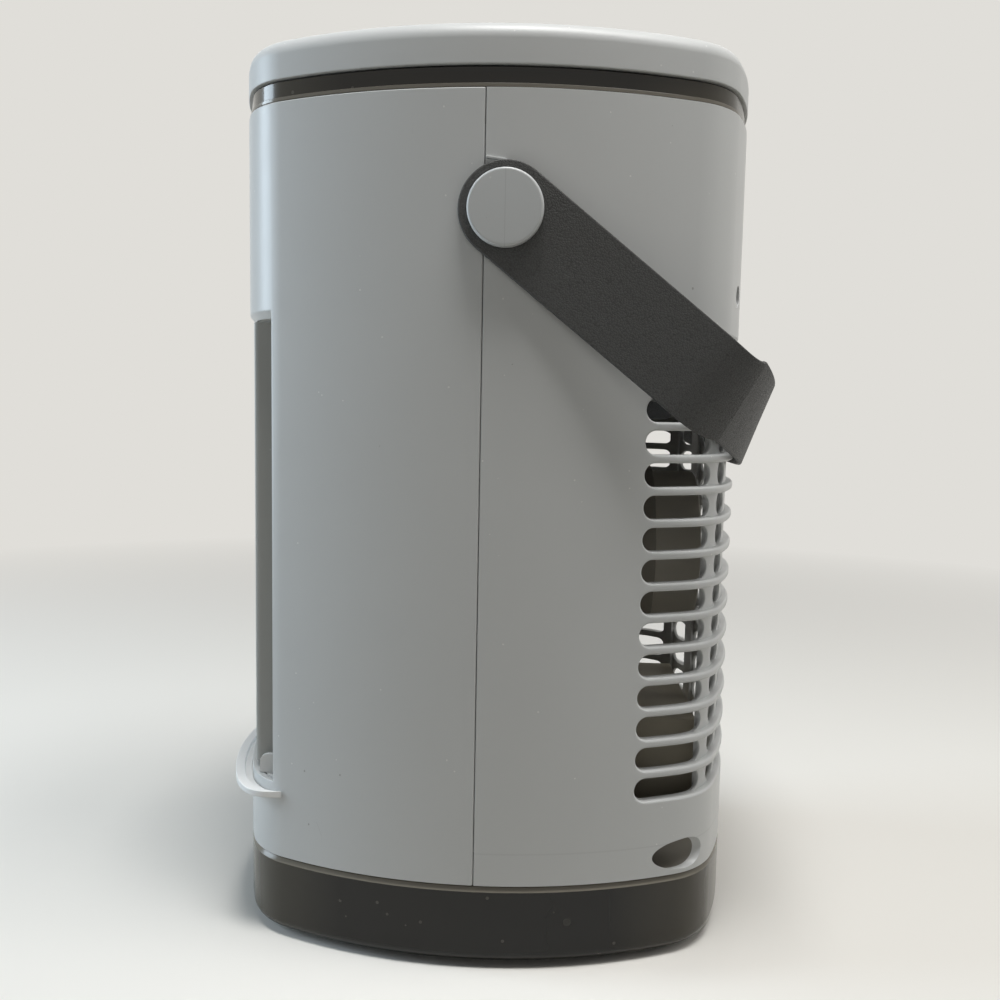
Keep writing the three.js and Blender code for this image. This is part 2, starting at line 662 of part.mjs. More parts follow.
function bladeSection(radius, pitch, halfChord, sweep) {
  const profile = [[-1, 0], [-0.5, -0.2], [0.3, -0.35], [1, 0], [0.3, 0.35], [-0.5, 0.75]];
  return profile.map(([c, t]) => {
    const chordwise = c * halfChord + sweep;
    const across = t * 1.9 + 0.9 * (1 - c * c);
    const tangential = chordwise * Math.cos(pitch) - across * Math.sin(pitch);
    const axial = chordwise * Math.sin(pitch) + across * Math.cos(pitch);
    const angle = tangential / radius;
    const reach = Math.min(radius, fan.tipRadius);
    return new THREE.Vector3(reach * Math.cos(angle), -axial, reach * Math.sin(angle));
  });
}

function fanRotor() {
  const back = fanFront + fan.hubDepth;
  const hub = rod("y", fan.hubRadius, fanFront, back, [0, 0], 21)
    .subtract(rod("y", fan.hubRadius - 2.2, fanFront + 2.5, wide, [0, 0], 21));
  const boss = rod("y", motor.shaftRadius + 3, fanFront + 1, back - 2, [0, 0], 16);
  let body = hub.add(boss).subtract(rod("y", motor.shaftRadius + fit, shaftFront - fit, wide, [0, 0], 16));
  const inside = rod("y", fan.hubRadius - 1.4, 0, wide, [0, 0], 21);
  const blade = fanBlade();
  for (let i = 0; i < fan.blades; i += 1) {
    const turned = geometryOf(blade);
    turned.translate(0, fanFront + fan.hubDepth / 2, 0);
    turned.rotateY((2 * Math.PI * i) / fan.blades);
    body = body.add(solid(turned).subtract(inside));
  }
  const placed = geometryOf(body);
  placed.translate(0, 0, fan.z);
  return solid(placed);
}

part("fan_rotor", fanRotor(), greyPlastic);

// ------------------------------------------------------------ wick cartridge, trough, pump and hose
const wickBottom = plateTop + fit;
const wickTop = wickBottom + wick.height;

function wickFrame() {
  const outer = [
    point(-wick.halfWidth, wickBottom), point(wick.halfWidth, wickBottom),
    point(wick.halfWidth, wickTop), point(-wick.halfWidth, wickTop),
  ];
  const innerHalf = wick.halfWidth - wick.wall;
  const hole = [
    point(-innerHalf, wickBottom + wick.wall),
    point(innerHalf, wickBottom + wick.wall),
    point(innerHalf, wickTop - wick.wall),
    point(-innerHalf, wickTop - wick.wall),
  ];
  let body = prismAlongY(outer, wickFront, wickBack, [hole]);
  for (const z of [0.33, 0.67]) {
    const height = THREE.MathUtils.lerp(wickBottom, wickTop, z);
    for (const [y0, y1] of [[wickFront, wickFront + 2], [wickBack - 2, wickBack]]) {
      body = body.add(block(-wick.halfWidth + 1, wick.halfWidth - 1, y0, y1, height - 1.5, height + 1.5));
    }
  }
  for (const x of [-40, 0, 40]) {
    const middle = (wickFront + wickBack) / 2;
    body = body.subtract(rod("z", 3, wickBottom - 1, wickBottom + wick.wall + 1, [x, middle], 8));
    body = body.subtract(rod("z", 3, wickTop - wick.wall - 1, wickTop + 1, [x, middle], 8));
  }
  return body;
}

// A pleated sheet that zigzags between the frame's front and back bars.
function wickPad() {
  const front = wickFront + 2 + fit;
  const back = wickBack - 2 - fit;
  const half = wick.halfWidth - wick.wall - fit;
  const folds = wick.pleats * 2;
  const run = (2 * half) / folds;
  const sheet = wick.pleatSheet;
  const foldLine = (odd, even) => Array.from({ length: folds + 1 }, (_, i) => (
    point(-half + run * i, i % 2 ? odd : even)));
  const high = foldLine(back, front + sheet);
  const low = foldLine(back - sheet, front);
  return prism([...low, ...high.reverse()], wickBottom + wick.wall + fit, wickTop - wick.wall - fit);
}

part("wick_frame", wickFrame(), white);
part("wick_pad", wickPad(), paper);

const troughBottom = wickTop + fit;

function dripTrough() {
  const troughTop = troughBottom + trough.height;
  const outside = block(-wick.halfWidth, wick.halfWidth, wickFront, wickBack, troughBottom, troughTop);
  let body = outside.subtract(block(-wick.halfWidth + trough.wall, wick.halfWidth - trough.wall,
    wickFront + trough.wall, wickBack - trough.wall, troughBottom + trough.wall, wide));
  for (let i = 0; i < trough.holes; i += 1) {
    const x = THREE.MathUtils.lerp(-wick.halfWidth, wick.halfWidth, (i + 0.5) / trough.holes);
    body = body.subtract(rod("z", trough.holeRadius, troughBottom - 1, troughBottom + trough.wall + 1,
      [x, (wickFront + wickBack) / 2], 8));
  }
  return body;
}

part("drip_trough", dripTrough(), white);

function waterPump() {
  const flangeTop = plateBottom - fit;
  const bodyTop = flangeTop - 4;
  const body = rod("z", pump.radius, bodyTop - pump.height, bodyTop, [pump.x, pumpY], 16)
    .add(rod("z", pump.neckRadius, bodyTop - 1, flangeTop, [pump.x, pumpY], 12))
    .add(rod("z", pump.spigotRadius, flangeTop - 1, plateTop + pump.spigotRise, [pump.x, pumpY], 12));
  const inletSlots = [-6, 0, 6].map((offset) => block(pump.x + offset - 1.2, pump.x + offset + 1.2,
    pumpY - pump.radius - 1, pumpY - pump.radius + 3, bodyTop - pump.height + 3, bodyTop - 6));
  return inletSlots.reduce((rest, slot) => rest.subtract(slot), body)
    .subtract(rod("z", pump.spigotRadius - 1.2, plateTop, wide, [pump.x, pumpY], 12));
}

part("water_pump", waterPump(), dark);

// Rings along the hose's middle line: straight up from the spigot, then over and down into the trough.
function hoseStations() {
  const troughY = wickBack - trough.wall - hose.radius - 1;
  const bend = (pumpY - troughY) / 2;
  const centre = point(pumpY - bend, hose.rise - bend - hose.radius);
  const stations = [{ y: pumpY, z: plateTop + 2, turn: 0 }];
  for (let i = 0; i <= hose.bendSteps; i += 1) {
    const turn = (Math.PI * i) / hose.bendSteps;
    stations.push({ y: centre.x + bend * Math.cos(turn), z: centre.y + bend * Math.sin(turn), turn });
  }
  stations.push({ y: troughY, z: centre.y - hose.tail, turn: Math.PI });
  return stations;
}

function hoseSolid(radius, overrun) {
  const stations = hoseStations();
  stations[0].z -= overrun;
  stations[stations.length - 1].z -= overrun;
  return loft(stations.map(({ y, z, turn }) => circle(radius, 0, 0, 8).map((p) => new THREE.Vector3(
    pump.x + p.x, y - p.y * Math.cos(turn) * -1, z + p.y * Math.sin(turn)))));
}

function pumpHose() {
  return hoseSolid(hose.radius, 0).subtract(hoseSolid(hose.bore, 1));
}

part("pump_hose", pumpHose(), greyPlastic);

// ------------------------------------------------------------ electrics
const electricsTop = plateTop + fit + electrics.height;

function electricsCover() {
  const { halfWidth, wall: coverWall } = electrics;
  const shell = block(-halfWidth, halfWidth, electricsFront, electricsBack, plateTop + fit, electricsTop);
  const hollow = block(-halfWidth + coverWall, halfWidth - coverWall, electricsFront + coverWall,
    electricsBack - coverWall, 0, electricsTop - coverWall);
  const inletHole = rod("y", inlet.barrelRadius + fit, electricsBack - 2 * coverWall, wide, [0, inletZ]);
  return shell.subtract(hollow).subtract(inletHole);
}

part("electrics_cover", electricsCover(), dark);

function boardOnPosts() {
  const bottom = plateTop + fit;
  const middle = (electricsFront + electricsBack) / 2;
  const x = mainBoard.width / 2;
  const y = mainBoard.depth / 2;
  const underside = bottom + mainBoard.lift;
  let body = block(-x, x, middle - y, middle + y, underside, underside + mainBoard.thickness);
  for (const [sx, sy] of [[1, 1], [1, -1], [-1, 1], [-1, -1]]) {
    const at = [sx * (x - mainBoard.postInset), middle + sy * (y - mainBoard.postInset)];
    body = body.add(rod("z", mainBoard.postRadius, bottom, underside + 0.5, at, 10));
  }
  const relayX = relay.inset - x;
  const relayBlock = block(relayX, relayX + relay.length, middle - relay.width / 2, middle + relay.width / 2,
    underside + 1, underside + 1 + relay.height);
  const can = rod("z", capacitor.radius, underside + 1, underside + 1 + capacitor.height,
    [x - capacitor.inset, middle - capacitor.offset], 14);
  return body.add(relayBlock).add(can);
}

part("main_board", boardOnPosts(), circuit);

function powerInlet() {
  const z = inletZ;
  const outside = plan.halfLength + inlet.flange;
  const barrel = rod("y", inlet.barrelRadius, outside - inlet.length, outside - 0.5, [0, z]);
  const flange = rod("y", inlet.flangeRadius, plan.halfLength + fit, outside, [0, z]);
  const bore = rod("y", inlet.bore, outside - inlet.length + 2, wide, [0, z], 12);
  const pin = rod("y", inlet.pinRadius, outside - inlet.length + 1, outside - 2, [0, z], 6);
  return barrel.add(flange).subtract(bore).add(pin);
}

part("power_inlet", powerInlet(), dark);

// ------------------------------------------------------------ vanes with their rails and link
const railTop = outletBottom - fit;
const upperRailBottom = outletTop + fit;
const linkBottom = railTop + fit;
const vaneBottom = linkBottom + link.thickness + vane.endGap;
const vaneTop = upperRailBottom - vane.endGap;
const pinBottom = railTop - rail.thickness + 0.5;
const middleVane = (vane.count - 1) / 2;
const vanePivots = Array.from({ length: vane.count }, (_, i) => {
  const x = (i - middleVane) * vane.spacing;
  return { name: `vane_${i + 1}`, x, y: -endAt(x, vane.inset) + vane.nose, drives: i === middleVane };
});

function railSolid(bottom, front, depth) {
  const band = wallRing(front, front + depth, bottom, bottom + rail.thickness);
  return band.intersect(block(-rail.halfLength, rail.halfLength, -wide, wickFront - rail.wickGap, 0, wide));
}

function pinHoles(body, bottom) {
  return vanePivots.reduce((rest, { x, y }) => rest.subtract(
    rod("z", vane.pinRadius + fit, bottom - 1, bottom + rail.thickness + 1, [x, y], 8)), body);
}

// The end cheeks stand up from the lower rail inside the outlet's two sides.
function endCheek(side) {
  const x = side * (rail.halfLength - cheek.thickness - 2);
  const front = -endAt(x, 0.6);
  const back = front + cheek.length;
  const top = railTop + cheek.height;
  const arc = Array.from({ length: 5 }, (_, i) => {
    const angle = Math.PI / 2 + (Math.PI / 2) * (i / 4);
    return point(front + cheek.round * (1 + Math.cos(angle)), top + cheek.round * (Math.sin(angle) - 1));
  });
  const foot = [point(front, railTop - 0.5), point(back, railTop - 0.5)];
  const shape = [...foot, point(back, top), ...arc];
  return prismAlongX(shape, Math.min(x, x - side * cheek.thickness), Math.max(x, x - side * cheek.thickness));
}

function lowerRail() {
  const bottom = railTop - rail.thickness;
  let body = pinHoles(railSolid(bottom, wall + fit, rail.depth), bottom);
  const pivot = vanePivots[middleVane];
  for (const side of [1, -1]) {
    body = body.add(rod("z", 2.5, bottom - stepper.drop, bottom + 1,
      [side * (stepper.earReach - 4), pivot.y + stepper.offset], 12));
    body = body.add(endCheek(side).subtract(wallRing(-fit, wall + fit, 0, outletBottom + fit)));
  }
  return body;
}

part("vane_rail_lower", lowerRail(), white);
part("vane_rail_upper", pinHoles(railSolid(upperRailBottom, wall + fit, rail.depth), upperRailBottom), white);

function vaneSolid({ x, y, drives }) {
  const tail = vane.chord - vane.nose;
  const half = vane.thickness / 2;
  const rib = vane.pinRadius + 0.1;
  const rightSide = [[half * 0.4, -vane.nose], [half, -0.75 * vane.nose], [rib, 0], [half * 0.6, tail]];
  const leftSide = [...rightSide].reverse().map(([px, py]) => [-px, py]);
  const profile = [...rightSide, ...leftSide].map(([px, py]) => point(x + px, y + py));
  const lowEnd = drives ? pinBottom - 4 : pinBottom;
  const crankEnd = vaneBottom - vane.endGap - crank.pinLength + 1;
  return prism(profile, vaneBottom, vaneTop)
    .add(rod("z", vane.pinRadius, lowEnd, vaneBottom + 1, [x, y], 6))
    .add(rod("z", vane.pinRadius, vaneTop - 1, upperRailBottom + rail.thickness - 0.5, [x, y], 6))
    .add(rod("z", crank.pinRadius, crankEnd, vaneBottom + 1, [x, y + crank.reach], 6));
}

for (const pivot of vanePivots) part(pivot.name, vaneSolid(pivot), greyPlastic);

// The link joins the crank pins. Each slot is long enough for its pin's arc.
function vaneLink() {
  const swing = radians(crank.travelDeg);
  const arcDepth = crank.reach * (1 - Math.cos(swing));
  const sideSlack = crank.reach * (swing - Math.sin(swing));
  const middle = vane.inset + vane.nose + crank.reach - 0.6;
  const end = vane.spacing * middleVane + link.overhang;
  const half = link.width / 2;
  let body = wallRing(middle - half, middle + half, linkBottom, linkBottom + link.thickness);
  body = body.intersect(block(-end, end, -wide, wickFront - rail.wickGap, 0, wide));
  for (const { x, y } of vanePivots) {
    const halfX = crank.pinRadius + fit + sideSlack;
    const back = y + crank.reach + crank.pinRadius + fit;
    const slotFront = back - arcDepth - 2 * (crank.pinRadius + fit);
    body = body.subtract(block(x - halfX, x + halfX, slotFront, back, 0, wide));
  }
  return body;
}

part("vane_link", vaneLink(), greyPlastic);

const stepperTop = railTop - rail.thickness - stepper.drop - fit;

function swingMotor() {
  const pivot = vanePivots[middleVane];
  const centre = [0, pivot.y + stepper.offset];
  const can = rod("z", stepper.radius, stepperTop - stepper.height, stepperTop, centre, 20);
  const earHalf = stepper.earWidth / 2;
  const earShape = roundedRectangle(stepper.earReach, earHalf, earHalf - 0.1, 0, centre[1]);
  const ears = prism(earShape, stepperTop - stepper.earThickness, stepperTop);
  const socketFloor = stepperTop - stepper.socket;
  const socket = rod("z", stepper.shaftRadius + fit, socketFloor, stepperTop + 1, [0, pivot.y], 10);
  return can.add(ears).subtract(socket);
}

part("swing_motor", swingMotor(), steel);

function swingShaft() {
  const pivot = vanePivots[middleVane];
  const top = railTop - rail.thickness - fit;
  return rod("z", stepper.shaftRadius, stepperTop - stepper.socket + fit, top, [0, pivot.y], 10)
    .subtract(rod("z", vane.pinRadius + fit / 2, pinBottom - 4 - fit, wide, [0, pivot.y], 8));
}

part("swing_shaft", swingShaft(), white);

// ------------------------------------------------------------ top: deck, light band, cap, panel and keys
const bandBottom = housingTop + fit;
const bandTop = bandBottom + band.height;
const capBottom = bandTop + fit;
const capTop = capBottom + cap.height;

function upperDeck() {
  const bottom = deck.top - deck.thickness;
  const body = slab(wall + fit, bottom, deck.top).subtract(block(-30, 30, -20, 20, 0, wide));
  return body.add(wallRing(deck.rimInset, deck.rimInset + deck.rimWall, deck.top - 1, bandTop - fit));
}

function lightBand() {
  const inner = band.inset + band.depth;
  const ledgeTop = bandBottom + band.ledge;
  const outside = stack([
    [band.ledgeInset, bandBottom], [band.ledgeInset, ledgeTop], [band.inset, ledgeTop],
    [band.inset, bandTop - band.bevel], [band.inset + band.bevel, bandTop],
  ]);
  return outside.subtract(slab(inner, 0, wide));
}

const pocketFloor = capTop - panel.thickness - fit;
const capCeiling = capTop - cap.topThickness;

function topCap() {
  let body = stack([
    [cap.wall, capCeiling], [cap.wall, capBottom], [0, capBottom],
    ...roundLevels(cap.round, 0, capTop - cap.round, 0, 90, 3),
  ]);
  const { halfWidth, halfDepth, corner } = panel;
  const pocket = roundedRectangle(halfWidth + fit, halfDepth + fit, corner + fit, 0, panelY);
  body = body.subtract(prism(pocket, pocketFloor, wide));
  for (const { x } of keys) body = body.subtract(rod("z", key.stemRadius + fit, 0, wide, [x, panelY], 8));
  for (const side of [1, -1]) {
    const postX = side * (keyboard.halfWidth - keyboard.postInset);
    body = body.add(rod("z", keyboard.postRadius, boardTop + fit, capCeiling + 1, [postX, panelY], 10));
  }
  return body;
}

const keys = ["power", "speed", "mist", "swing"].map((name, i) => ({ name, x: (i - 1.5) * key.spacing }));
const keyTop = capTop + key.proud;
const stemBottom = capCeiling - 1.4;
const switchTop = stemBottom - key.travel;
const boardTop = switchTop - keyboard.switchHeight;

function controlPanel() {
  const plateShape = roundedRectangle(panel.halfWidth, panel.halfDepth, panel.corner, 0, panelY);
  let body = prism(plateShape, capTop - panel.thickness, capTop);
  for (const { x } of keys) body = body.subtract(rod("z", key.radius + fit, 0, wide, [x, panelY], 16));
  return body;
}

function controlBoard() {
  const { halfWidth, halfDepth, thickness } = keyboard;
  const [front, back] = [panelY - halfDepth, panelY + halfDepth];
  let body = block(-halfWidth, halfWidth, front, back, boardTop - thickness, boardTop);
  const half = keyboard.switchSize / 2;
  for (const { x } of keys) {
    body = body.add(block(x - half, x + half, panelY - half, panelY + half, boardTop - 0.5, switchTop));
  }
  return body;
}

part("upper_deck", upperDeck(), dark);
part("light_band", lightBand(), smoke);
part("top_cap", topCap(), white);
part("control_panel", controlPanel(), dark);
part("control_board", controlBoard(), circuit);
for (const { name, x } of keys) {
  const disc = rod("z", key.radius, keyTop - key.height, keyTop, [x, panelY], 16);
  part(`${name}_key`, disc.add(rod("z", key.stemRadius, stemBottom, keyTop - 1, [x, panelY], 8)), white);
}

// ------------------------------------------------------------ carry strap and its pivots
const strapOuter = strapInner + strap.thickness;
const bushRadius = button.stemRadius + fit + bush.wall;

// Stations of the strap's middle line: u runs away from the pivots, x across, turn is 0 on the arms
// and 90 degrees at the middle of the grip.
function strapStations() {
  const sizes = {
    halfWidth: strapInner + strap.thickness / 2, halfLength: strapReach, sideRadius: 5000,
    endRadius: strap.endRadius, cornerRadius: strap.cornerRadius,
  };
  const [, corner, end] = quarterArcs(sizes);
  const stations = [0, corner.centre.y].map((u) => ({ x: sizes.halfWidth, u, turn: 0 }));
  for (const [arc, steps] of [[corner, 6], [end, 4]]) {
    for (let i = 1; i <= steps; i += 1) {
      const turn = arc.from + ((arc.to - arc.from) * i) / steps;
      const along = arc.centre.y + arc.radius * Math.sin(turn);
      stations.push({ x: arc.centre.x + arc.radius * Math.cos(turn), u: along, turn });
    }
  }
  return stations;
}

function strapRing({ x, u, turn }, side) {
  const slope = radians(strap.tilt);
  const share = Math.sin(turn) ** 4; // the grip's own lean and rise come in late, round the corner
  const lean = radians(THREE.MathUtils.lerp(strap.tilt, strap.gripTilt, share));
  const rise = strap.gripRise * share;
  const centre = new THREE.Vector3(side * x, pivotY + u * Math.cos(slope) + rise * Math.sin(slope),
    pivotCentre[1] - u * Math.sin(slope) + rise * Math.cos(slope));
  const level = Math.cos(turn);
  const [ahead, down] = [level * Math.cos(slope), level * Math.sin(slope)];
  const forward = new THREE.Vector3(-side * Math.sin(turn), ahead, -down);
  const across = new THREE.Vector3(0, Math.sin(lean), Math.cos(lean));
  across.addScaledVector(forward, -across.dot(forward)).normalize();
  const out = new THREE.Vector3().crossVectors(forward, across).multiplyScalar(side > 0 ? -1 : 1);
  if (out.x * side < 0 || (turn > 1 && out.y < 0)) out.multiplyScalar(-1);
  return [[-1, -1], [-1, 1], [1, 1], [1, -1]].map(([a, b]) => centre.clone()
    .addScaledVector(across, (a * strap.width) / 2).addScaledVector(out, (b * strap.thickness) / 2));
}

function carryStrap() {
  const half = strapStations();
  const rings = [
    ...half.map((station) => strapRing(station, 1)),
    ...half.slice(0, -1).reverse().map((station) => strapRing(station, -1)),
  ];
  let body = loft(rings);
  if (body.volume() < 0) body = loft([...rings].reverse());
  for (const side of [1, -1]) {
    const [from, to] = [side * strapInner, side * strapOuter].sort((a, b) => a - b);
    body = body.add(rod("x", strap.width / 2, from, to, pivotCentre, 22));
    body = body.subtract(rod("x", bushRadius + fit, from - 1, to + 1, pivotCentre, 14));
  }
  return body;
}

part("carry_strap", carryStrap(), leather);

// A solid of revolution about the strap's pivot line, from [distance along X, radius] points.
function turned(profile, side, sides = 22) {
  const rings = profile.map(([x, radius]) => circle(radius, ...pivotCentre, sides)
    .map((p) => new THREE.Vector3(side * x, p.x, p.y)));
  return loft(side > 0 ? rings : [...rings].reverse());
}

const buttonInner = strapOuter + fit;
const buttonOuter = buttonInner + button.height;
const shellSide = plan.halfWidth - (plan.sideRadius - Math.sqrt(plan.sideRadius ** 2 - pivotY ** 2));
const stemEnd = buttonInner - button.stemReach;

for (const [place, side] of [["right", 1], ["left", -1]]) {
  const head = turned([
    [buttonInner, button.radius], [buttonOuter - button.round, button.radius],
    [buttonOuter, button.radius - button.round],
  ], side);
  const stem = turned([[stemEnd, button.stemRadius], [buttonInner + 1, button.stemRadius]], side, 12);
  const bore = turned([[stemEnd - 1, button.bore], [buttonInner - 0.5, button.bore]], side, 8);
  part(`strap_button_${place}`, head.add(stem).subtract(bore), white);
  const sleeve = turned([[shellSide + fit, bushRadius], [strapOuter, bushRadius]], side, 14)
    .subtract(turned([[0, button.stemRadius + fit], [wide, button.stemRadius + fit]], side, 12));
  part(`strap_bush_${place}`, sleeve, greyPlastic);
  const headX = stemEnd - fit - strapScrew.headHeight;
  const shankEnd = stemEnd + strapScrew.shankLength - 1;
  const { headRadius, shankRadius } = strapScrew;
  const screwHead = turned([[headX, headRadius], [stemEnd - fit, headRadius]], side, 14);
  const shank = turned([[stemEnd - fit - 0.5, shankRadius], [shankEnd, shankRadius]], side, 8);
  part(`strap_screw_${place}`, screwHead.add(shank), steel);
}

// The origin is under the middle of the whole object, strap and lip included.
const extent = new THREE.Box3().setFromObject(cooler, true);
cooler.position.y = -(extent.min.y + extent.max.y) / 2;
cooler.updateMatrixWorld(true);

export default cooler;
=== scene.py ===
import math

import bmesh
import bpy
from mathutils import Matrix, Vector


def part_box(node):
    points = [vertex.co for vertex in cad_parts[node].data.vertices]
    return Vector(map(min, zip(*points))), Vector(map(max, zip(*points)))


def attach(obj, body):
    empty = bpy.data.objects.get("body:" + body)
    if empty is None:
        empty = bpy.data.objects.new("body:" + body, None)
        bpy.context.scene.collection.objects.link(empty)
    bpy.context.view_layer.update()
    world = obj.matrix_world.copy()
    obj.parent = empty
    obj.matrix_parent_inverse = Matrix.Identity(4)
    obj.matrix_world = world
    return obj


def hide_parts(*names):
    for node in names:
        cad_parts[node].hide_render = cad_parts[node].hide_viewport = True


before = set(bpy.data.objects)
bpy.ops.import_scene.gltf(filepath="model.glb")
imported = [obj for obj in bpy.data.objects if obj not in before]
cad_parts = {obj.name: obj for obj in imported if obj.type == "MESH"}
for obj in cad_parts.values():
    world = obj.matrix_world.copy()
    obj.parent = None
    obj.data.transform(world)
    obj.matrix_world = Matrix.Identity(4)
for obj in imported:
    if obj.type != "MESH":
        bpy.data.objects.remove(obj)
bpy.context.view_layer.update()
mm = 0.001
tiny = 1e-6  # points closer than this are one point
print("frame loaded")


# where things are, all from the frame
def corners(node):
    low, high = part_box(node)
    return Vector(low), Vector(high)


shellLow, shellHigh = corners("rear_shell")
capLow, capHigh = corners("top_cap")
tankLow, tankHigh = corners("water_tank")
bandLow, bandHigh = corners("light_band")
buttonLow, buttonHigh = corners("strap_button_right")
linkLow, linkHigh = corners("vane_link")
midY = (capLow.y + capHigh.y) / 2
halfWidth = capHigh.x
halfLength = (capHigh.y - capLow.y) / 2
pivot = Vector((0, (buttonLow.y + buttonHigh.y) / 2 - midY, (buttonLow.z + buttonHigh.z) / 2))

plan = {"sideRadius": 197 * mm, "endRadius": 136 * mm, "cornerRadius": 33 * mm,
        "sideStep": 6 * mm, "cornerStep": 1.8 * mm, "endStep": 5 * mm}


def planArcs():  # the side, corner and end arcs of a quarter of the outline
    side = Vector((halfWidth - plan["sideRadius"], 0))
    end = Vector((0, halfLength - plan["endRadius"]))
    toSide = plan["sideRadius"] - plan["cornerRadius"]
    toEnd = plan["endRadius"] - plan["cornerRadius"]
    between = end - side
    along = (toSide ** 2 - toEnd ** 2 + between.length_squared) / (2 * between.length)
    across = math.sqrt(toSide ** 2 - along ** 2)
    unit = between.normalized()
    corner = side + unit * along + Vector((-unit.y, unit.x)) * across
    turnA = math.atan2(corner.y - side.y, corner.x - side.x)
    turnB = math.atan2(corner.y - end.y, corner.x - end.x)
    rows = [(side, "side", 0, turnA), (corner, "corner", turnA, turnB), (end, "end", turnB, math.pi / 2)]
    made = []
    for centre, key, start, stop in rows:
        radius, sweep = plan[key + "Radius"], stop - start
        steps = math.ceil(sweep * radius / plan[key + "Step"])
        made.append({"centre": centre, "radius": radius, "start": start, "sweep": sweep, "steps": steps})
    return made


arcs = planArcs()
quarterLength = sum(arc["radius"] * arc["sweep"] for arc in arcs)
wholeLength = 2 * quarterLength  # of a flat wall that is to be bent half round


def pathPoint(length):  # a point on the quarter outline, by its length from the middle of the side
    left = length
    for arc in arcs:
        reach = arc["radius"] * arc["sweep"]
        if left <= reach or arc is arcs[-1]:
            turn = arc["start"] + left / arc["radius"]
            return arc["centre"] + Vector((math.cos(turn), math.sin(turn))) * arc["radius"]
        left -= reach


def lengthWhere(passed):  # the length at which the outline first passes a place
    low, high = 0, quarterLength
    for _ in range(40):
        middle = (low + high) / 2
        low, high = (low, middle) if passed(pathPoint(middle)) else (middle, high)
    return low


# working on meshes
def clearSelection():
    if bpy.context.object and bpy.context.object.mode != "OBJECT":
        bpy.ops.object.mode_set(mode="OBJECT")
    bpy.ops.object.select_all(action="DESELECT")


def activate(piece):
    clearSelection()
    piece.select_set(True)
    bpy.context.view_layer.objects.active = piece
    return piece


def editAll(piece):  # edit mode, with everything selected
    activate(piece)
    bpy.ops.object.mode_set(mode="EDIT")
    bpy.ops.mesh.select_all(action="SELECT")


def leaveEdit():
    bpy.ops.object.mode_set(mode="OBJECT")


def mergeAll(threshold=tiny):
    bpy.ops.mesh.select_all(action="SELECT")
    bpy.ops.mesh.remove_doubles(threshold=threshold)


def named(name):
    piece = bpy.context.object
    piece.name = piece.data.name = name
    bpy.ops.object.transform_apply(location=True, rotation=True, scale=True)
    return piece


def block(name, low, high):
    clearSelection()
    middle = [(a + b) / 2 for a, b in zip(low, high)]
    bpy.ops.mesh.primitive_cube_add(size=1, location=middle, scale=[b - a for a, b in zip(low, high)])
    return named(name)


def rod(name, axis, radius, start, stop, centre, sides=48):  # a cylinder along one axis
    clearSelection()
    middle = (start + stop) / 2
    place = {"x": (middle, *centre), "y": (centre[0], middle, centre[1]), "z": (*centre, middle)}[axis]
    turn = {"x": (0, math.pi / 2, 0), "y": (math.pi / 2, 0, 0), "z": (0, 0, 0)}[axis]
    bpy.ops.mesh.primitive_cylinder_add(vertices=sides, radius=radius, depth=stop - start,
                                        location=place, rotation=turn)
    return named(name)


def pick(piece, kind, test):  # selects by place and direction, and stays in edit mode
    activate(piece)
    bpy.ops.object.mode_set(mode="EDIT")
    bpy.ops.mesh.select_mode(type=kind)
    bpy.ops.mesh.select_all(action="DESELECT")
    mesh = bmesh.from_edit_mesh(piece.data)
    if kind == "VERT":
        for v in mesh.verts:
            v.select_set(bool(test(v.co)))
    elif kind == "EDGE":
        for e in mesh.edges:
            a, b = e.verts
            e.select_set(bool(test(e, (a.co + b.co) / 2, (b.co - a.co).normalized())))
    else:
        for f in mesh.faces:
            f.select_set(bool(test(f.calc_center_median(), f.normal)))
    mesh.select_flush_mode()
    bmesh.update_edit_mesh(piece.data)


def applyModifier(piece, kind, **settings):
    activate(piece)
    bpy.ops.object.modifier_add(type=kind)
    modifier = piece.modifiers[-1]
    for key, value in settings.items():
        setattr(modifier, key, value)
    bpy.ops.object.modifier_apply(modifier=modifier.name)
    return piece


def softenEdges(piece, width, segments=2, angle=35):
    return applyModifier(piece, "BEVEL", width=width, segments=segments, limit_method="ANGLE",
                         angle_limit=math.radians(angle), use_clamp_overlap=True)


def bevelEdges(piece, radius, segments, test):
    pick(piece, "EDGE", test)
    bpy.ops.mesh.bevel(offset=radius, segments=segments, affect="EDGES")
    leaveEdit()
    return piece


def joinAll(pieces, name):
    activate(pieces[0])
    for piece in pieces:
        piece.select_set(True)
    bpy.ops.object.join()
    pieces[0].name = pieces[0].data.name = name
    return pieces[0]


def combine(piece, other, operation):
    applyModifier(piece, "BOOLEAN", operation=operation, object=other, solver="EXACT")
    bpy.data.objects.remove(other)
    return piece


def copyOf(piece, name):
    activate(piece)
    bpy.ops.object.duplicate()
    copy = bpy.context.object
    copy.name = copy.data.name = name
    return copy


def move(piece, offset):
    editAll(piece)
    bpy.ops.transform.translate(value=offset)
    leaveEdit()
    return piece


def rotate(piece, angle, axis, centre):  # the operator turns the other way when there is no window
    editAll(piece)
    bpy.ops.transform.rotate(value=-angle, orient_axis=axis, center_override=centre)
    leaveEdit()
    return piece


def mirrored(piece, name):  # a copy on the other side, with its faces turned out again
    copy = copyOf(piece, name)
    editAll(copy)
    bpy.ops.transform.mirror(constraint_axis=(True, False, False), center_override=(0, 0, 0))
    bpy.ops.mesh.flip_normals()
    leaveEdit()
    return copy


def bothSides(piece):
    return [piece, mirrored(piece, piece.name)]


def smooth(piece, angle=30):
    activate(piece)
    bpy.ops.object.shade_smooth_by_angle(angle=math.radians(angle))
    return applyModifier(piece, "WEIGHTED_NORMAL", mode="FACE_AREA", weight=50, keep_sharp=True)


